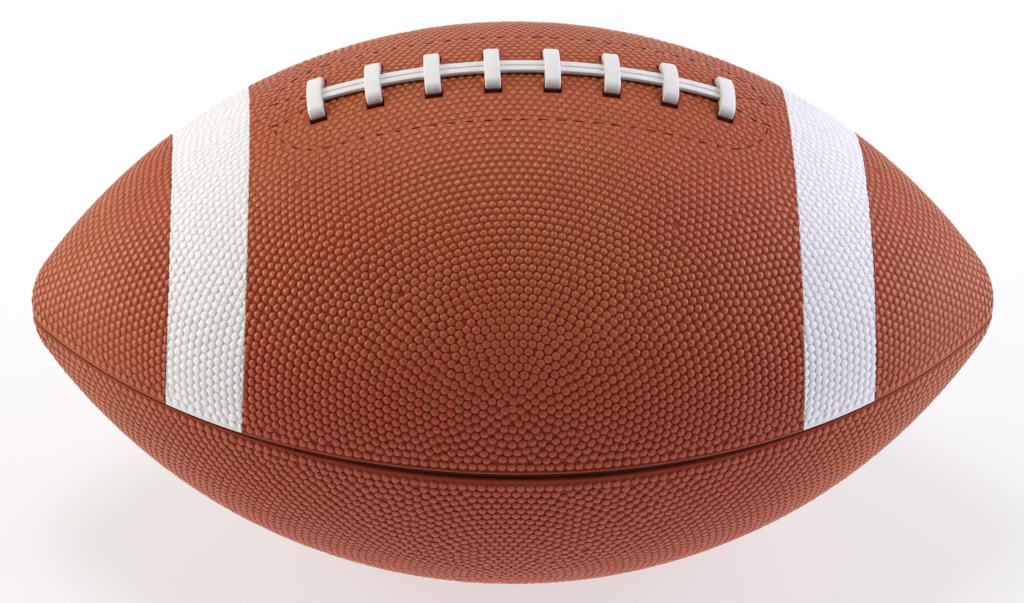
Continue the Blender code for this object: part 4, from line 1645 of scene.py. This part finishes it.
def build_seam_strips():
    """Rounded strips in the seam grooves, near black with painted shade of the grooves: a ring on both
    sides, and one below.
    """
    height = STRIP_TOP - STRIP_BOTTOM
    section = rounded_section("seam_strip_section", STRIP_WIDTH, height, STRIP_EDGE)
    angle = angle_after(np.linspace(LENGTH_TABLE[0], LENGTH_TABLE[-1], STRIP_POINTS))
    fade = seam_fade(outline(angle)[0])
    along, away = outline(angle, STRIP_TOP - fade * height / 2)
    upper = [(float(x), float(r)) for x, r in zip(along, away)]
    sizes = [float(share) for share in fade]
    ring = upper + [(x, -r) for x, r in reversed(upper)]
    ring_sizes = sizes + sizes[::-1]
    mesh = swept("seam_ring", ring, section, Matrix.Identity(4), closed=True, sizes=ring_sizes)
    add_piece("seam_ring", mesh, DARK_SEAM, "seam_rubber", "seam_strip_ring")
    clear = STRIP_WIDTH / 2 + STRIP_EDGE
    lower = [(x, -r) for x, r in upper if r > clear]
    lower_sizes = [share for (x, r), share in zip(upper, sizes) if r > clear]
    mesh = swept("seam_bottom", lower, section, Matrix.Rotation(pi / 2, 4, "X"), sizes=lower_sizes)
    add_piece("seam_bottom", mesh, DARK_SEAM, "seam_rubber", "seam_strip_bottom")
    bpy.data.objects.remove(section)


def stitch_tree():
    """Short stitches at even steps along a line, each laid on the ball's surface."""
    sockets = [
        ("Pitch", "Float"),
        ("Length", "Float"),
        ("Width", "Float"),
        ("Height", "Float"),
        ("Seed", "Int"),
        ("Material", "Material"),
    ]
    tree, given = new_tree("stitch_row", sockets)
    line_links = [("Curve", given["Geometry"]), ("Length", given["Pitch"])]
    spots = node(tree, "GeometryNodeCurveToPoints", line_links, mode="LENGTH").outputs
    ball_links = [("Segments", STITCH_SIDES), ("Rings", STITCH_RINGS), ("Radius", 0.5)]
    ball = result(tree, "GeometryNodeMeshUVSphere", ball_links)
    smooth = result(tree, "GeometryNodeSetShadeSmooth", [(0, ball)])
    size_links = [(0, given["Height"]), (1, given["Width"]), (2, given["Length"])]
    size = result(tree, "ShaderNodeCombineXYZ", size_links)
    stitch = result(tree, "GeometryNodeTransform", [("Geometry", smooth), ("Scale", size)])
    vary = random_between(tree, given["Seed"], *STITCH_SHARES)
    placed = set_on_points(tree, spots["Points"], stitch, spots["Rotation"], vary)
    return end_tree(tree, placed, given["Material"])


def build_stitches():
    """Pressed stitches that follow the edge of the patch behind the laces, front and rear, near black with
    painted shade of their grooves.
    """
    tree = stitch_tree()
    values = {
        "Pitch": STITCH_PITCH,
        "Length": STITCH_LENGTH,
        "Width": STITCH_WIDTH,
        "Height": STITCH_HEIGHT,
        "Seed": RANDOM_SEED,
        "Material": STITCH,
    }
    for face, side in FACES:
        points = stitch_points(STITCH_LEVEL) * np.array([1.0, side, 1.0])
        name = f"stitch_line_{face}"
        holder = put_object(name, poly_curve(name, points, "3D", False))
        add_piece(f"patch_stitches_{face}", grown(holder, tree, values), STITCH, "seam_rubber")


def turned(name, profile, matrix):
    """A solid turned about Z from (radius, height) points, then placed by a matrix."""
    shape = bmesh.new()
    rings = []
    for radius, height in profile:
        if radius == 0.0:
            rings.append([shape.verts.new((0.0, 0.0, height))] * VALVE_STEPS)
            continue
        ring = []
        for i in range(VALVE_STEPS):
            turn = 2 * pi * i / VALVE_STEPS
            ring.append(shape.verts.new((radius * cos(turn), radius * sin(turn), height)))
        rings.append(ring)
    for upper, lower in zip(rings, rings[1:]):
        for i in range(VALVE_STEPS):
            j = (i + 1) % VALVE_STEPS
            corners = dict.fromkeys((upper[i], lower[i], lower[j], upper[j]))
            shape.faces.new(list(corners))
    bmesh.ops.recalc_face_normals(shape, faces=shape.faces)
    mesh = written(shape, bpy.data.meshes.new(name))
    mesh.transform(matrix)
    return smoothed(mesh, VALVE_SHARP)


def build_valve():
    """The valve's boot and plug, sunk a little below the cover."""
    matrix = Matrix.Rotation(pi + VALVE_ANGLE_FROM_BOTTOM, 4, "X")
    top = BALL_RADIUS - VALVE_SINK
    bottom = top - VALVE_LENGTH
    bore = VALVE_SHANK_RADIUS + VALVE_SHANK_GAP
    boot = [
        (bore, bottom),
        (bore, top - VALVE_NECK_EDGE),
        (bore + VALVE_NECK_EDGE, top),
        (VALVE_NECK_RADIUS - VALVE_NECK_EDGE, top),
        (VALVE_NECK_RADIUS, top - VALVE_NECK_EDGE),
        (VALVE_NECK_RADIUS, bottom),
        (bore, bottom),
    ]
    plug = [
        (0.0, top - VALVE_NEEDLE_DEPTH),
        (VALVE_NEEDLE_TAPER_RADIUS, top - VALVE_NEEDLE_TAPER_DEPTH),
        (VALVE_NEEDLE_RADIUS, top - VALVE_NECK_EDGE),
        (VALVE_NEEDLE_RADIUS + VALVE_SHANK_EDGE, top),
        (VALVE_SHANK_RADIUS - VALVE_SHANK_EDGE, top),
        (VALVE_SHANK_RADIUS, top - VALVE_SHANK_EDGE),
        (VALVE_SHANK_RADIUS, bottom),
        (0.0, bottom),
    ]
    for name, profile, cad_node in (
        ("valve_boot_neck", boot, "valve_boot"),
        ("valve_plug_core", plug, "valve_plug"),
    ):
        add_piece(name, turned(name, profile, matrix), BLACK, "valve_rubber", cad_node)


def dress_inner_layers():
    """Finishes for the CAD nodes inside the cover, whose shapes stay."""
    for name, material in (("lace_patch", PATCH), ("winding", WINDING), ("bladder", BUTYL)):
        in_one_material(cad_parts[name].data, material)


# Stage, light and camera


def mirrored_rays(tree, rays):
    """Whether a ray shows a reflection, or what lies behind a clear piece."""
    return math_result(tree, "MAXIMUM", rays["Is Glossy Ray"], rays["Is Transmission Ray"])


def floor_material(floor_height):
    """White to the camera but for the ball's shadow, with a soft glow up at the ball's front."""
    material, tree, shader = new_material("pale_floor")
    shader.inputs["Base Color"].default_value = FLOOR_COLOUR
    shader.inputs["Roughness"].default_value = FLOOR_ROUGHNESS
    shader.inputs["Specular IOR Level"].default_value = 0.0
    rays = node(tree, "ShaderNodeLightPath").outputs
    shown = math_result(tree, "MAXIMUM", rays["Is Camera Ray"], mirrored_rays(tree, rays))
    place = result(tree, "ShaderNodeNewGeometry", output="Position")
    squeeze_links = [(0, place), (1, FLOOR_GLOW_SQUEEZE)]
    squeezed = result(tree, "ShaderNodeVectorMath", squeeze_links, operation="MULTIPLY")
    away_links = [(0, squeezed), (1, (0.0, FLOOR_GLOW_Y, floor_height))]
    away = result(tree, "ShaderNodeVectorMath", away_links, output="Value", operation="DISTANCE")
    glowing = moved_range(tree, away, FLOOR_GLOW_DISTANCES, (1.0, 0.0))
    reach = result(tree, "ShaderNodeVectorMath", [(0, place)], output="Value", operation="LENGTH")
    whiter = moved_range(tree, reach, FLOOR_WHITE_DISTANCES, FLOOR_WHITE_SHARES)
    share = mixed_value(tree, shown, glowing, whiter)
    strength = mixed_value(tree, shown, FLOOR_GLOW, 1.0)
    glow = result(tree, "ShaderNodeEmission", [("Color", PURE_WHITE), ("Strength", strength)])
    mixed = result(tree, "ShaderNodeMixShader", [(0, share), (1, shader.outputs[0]), (2, glow)])
    tree.links.new(mixed, tree.nodes["Material Output"].inputs["Surface"])
    return material


def build_stage():
    """A pale floor, just under the ball's lowest point."""
    floor_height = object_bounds()[0].z - FLOOR_GAP
    shape = bmesh.new()
    bmesh.ops.create_grid(shape, x_segments=1, y_segments=1, size=FLOOR_SIZE)
    mesh = written(shape, bpy.data.meshes.new("floor"))
    mesh.transform(Matrix.Translation((0.0, 0.0, floor_height)))
    mesh.materials.append(floor_material(floor_height))
    put_object("floor", mesh)


def build_light():
    """A large soft light from each side, a weaker one overhead, and a white room behind the ball."""
    for softbox in SOFTBOXES:
        lamp = bpy.data.lights.new(softbox.name, "AREA")
        lamp.shape = "SQUARE"
        lamp.size = softbox.size
        lamp.energy = softbox.power
        lamp.color = softbox.colour
        obj = put_object(softbox.name, lamp)
        obj.location = softbox.place
        obj.rotation_euler = (-Vector(softbox.place)).to_track_quat("-Z", "Y").to_euler()
    world = bpy.data.worlds.new("white_room")
    world.use_nodes = True
    bpy.context.scene.world = world
    tree = world.node_tree
    rays = node(tree, "ShaderNodeLightPath").outputs
    direction = result(tree, "ShaderNodeTexCoord", output="Generated")
    depth = result(tree, "ShaderNodeSeparateXYZ", [(0, direction)], output="Y")
    back_wall = mixed_value(tree, mirrored_rays(tree, rays), ROOM_BEHIND, 1.0)
    strength = moved_range(tree, depth, (0.0, 1.0), (ROOM_BEFORE, back_wall))
    backdrop = tree.nodes["Background"].inputs
    backdrop["Color"].default_value = PURE_WHITE
    tree.links.new(mixed_value(tree, rays["Is Camera Ray"], strength, 1.0), backdrop["Strength"])


def build_camera():
    """The camera looks at the ball's centre from above its front, a little rolled."""
    data = bpy.data.cameras.new("camera")
    data.lens = CAMERA_LENS
    data.sensor_width = CAMERA_SENSOR
    data.sensor_fit = "HORIZONTAL"
    data.shift_x = CAMERA_SHIFT_X
    data.shift_y = CAMERA_SHIFT_Y
    data.clip_start = CAMERA_NEAREST
    data.clip_end = CAMERA_FARTHEST
    flat = cos(CAMERA_ELEVATION)
    back = Vector((sin(CAMERA_TURN) * flat, -cos(CAMERA_TURN) * flat, sin(CAMERA_ELEVATION)))
    right = Vector((0.0, 0.0, 1.0)).cross(back).normalized()
    up = back.cross(right)
    rolled_right = right * cos(CAMERA_ROLL) + up * sin(CAMERA_ROLL)
    rolled_up = back.cross(rolled_right)
    camera = put_object("camera", data)
    matrix = Matrix((rolled_right, rolled_up, back)).transposed().to_4x4()
    camera.matrix_world = Matrix.Translation(back * CAMERA_DISTANCE) @ matrix
    bpy.context.scene.camera = camera


build_cover()
build_cross_laces()
build_long_laces()
build_seam_strips()
build_stitches()
build_valve()
dress_inner_layers()
build_stage()
build_light()
build_camera()
bpy.context.scene.view_settings.view_transform = "Standard"
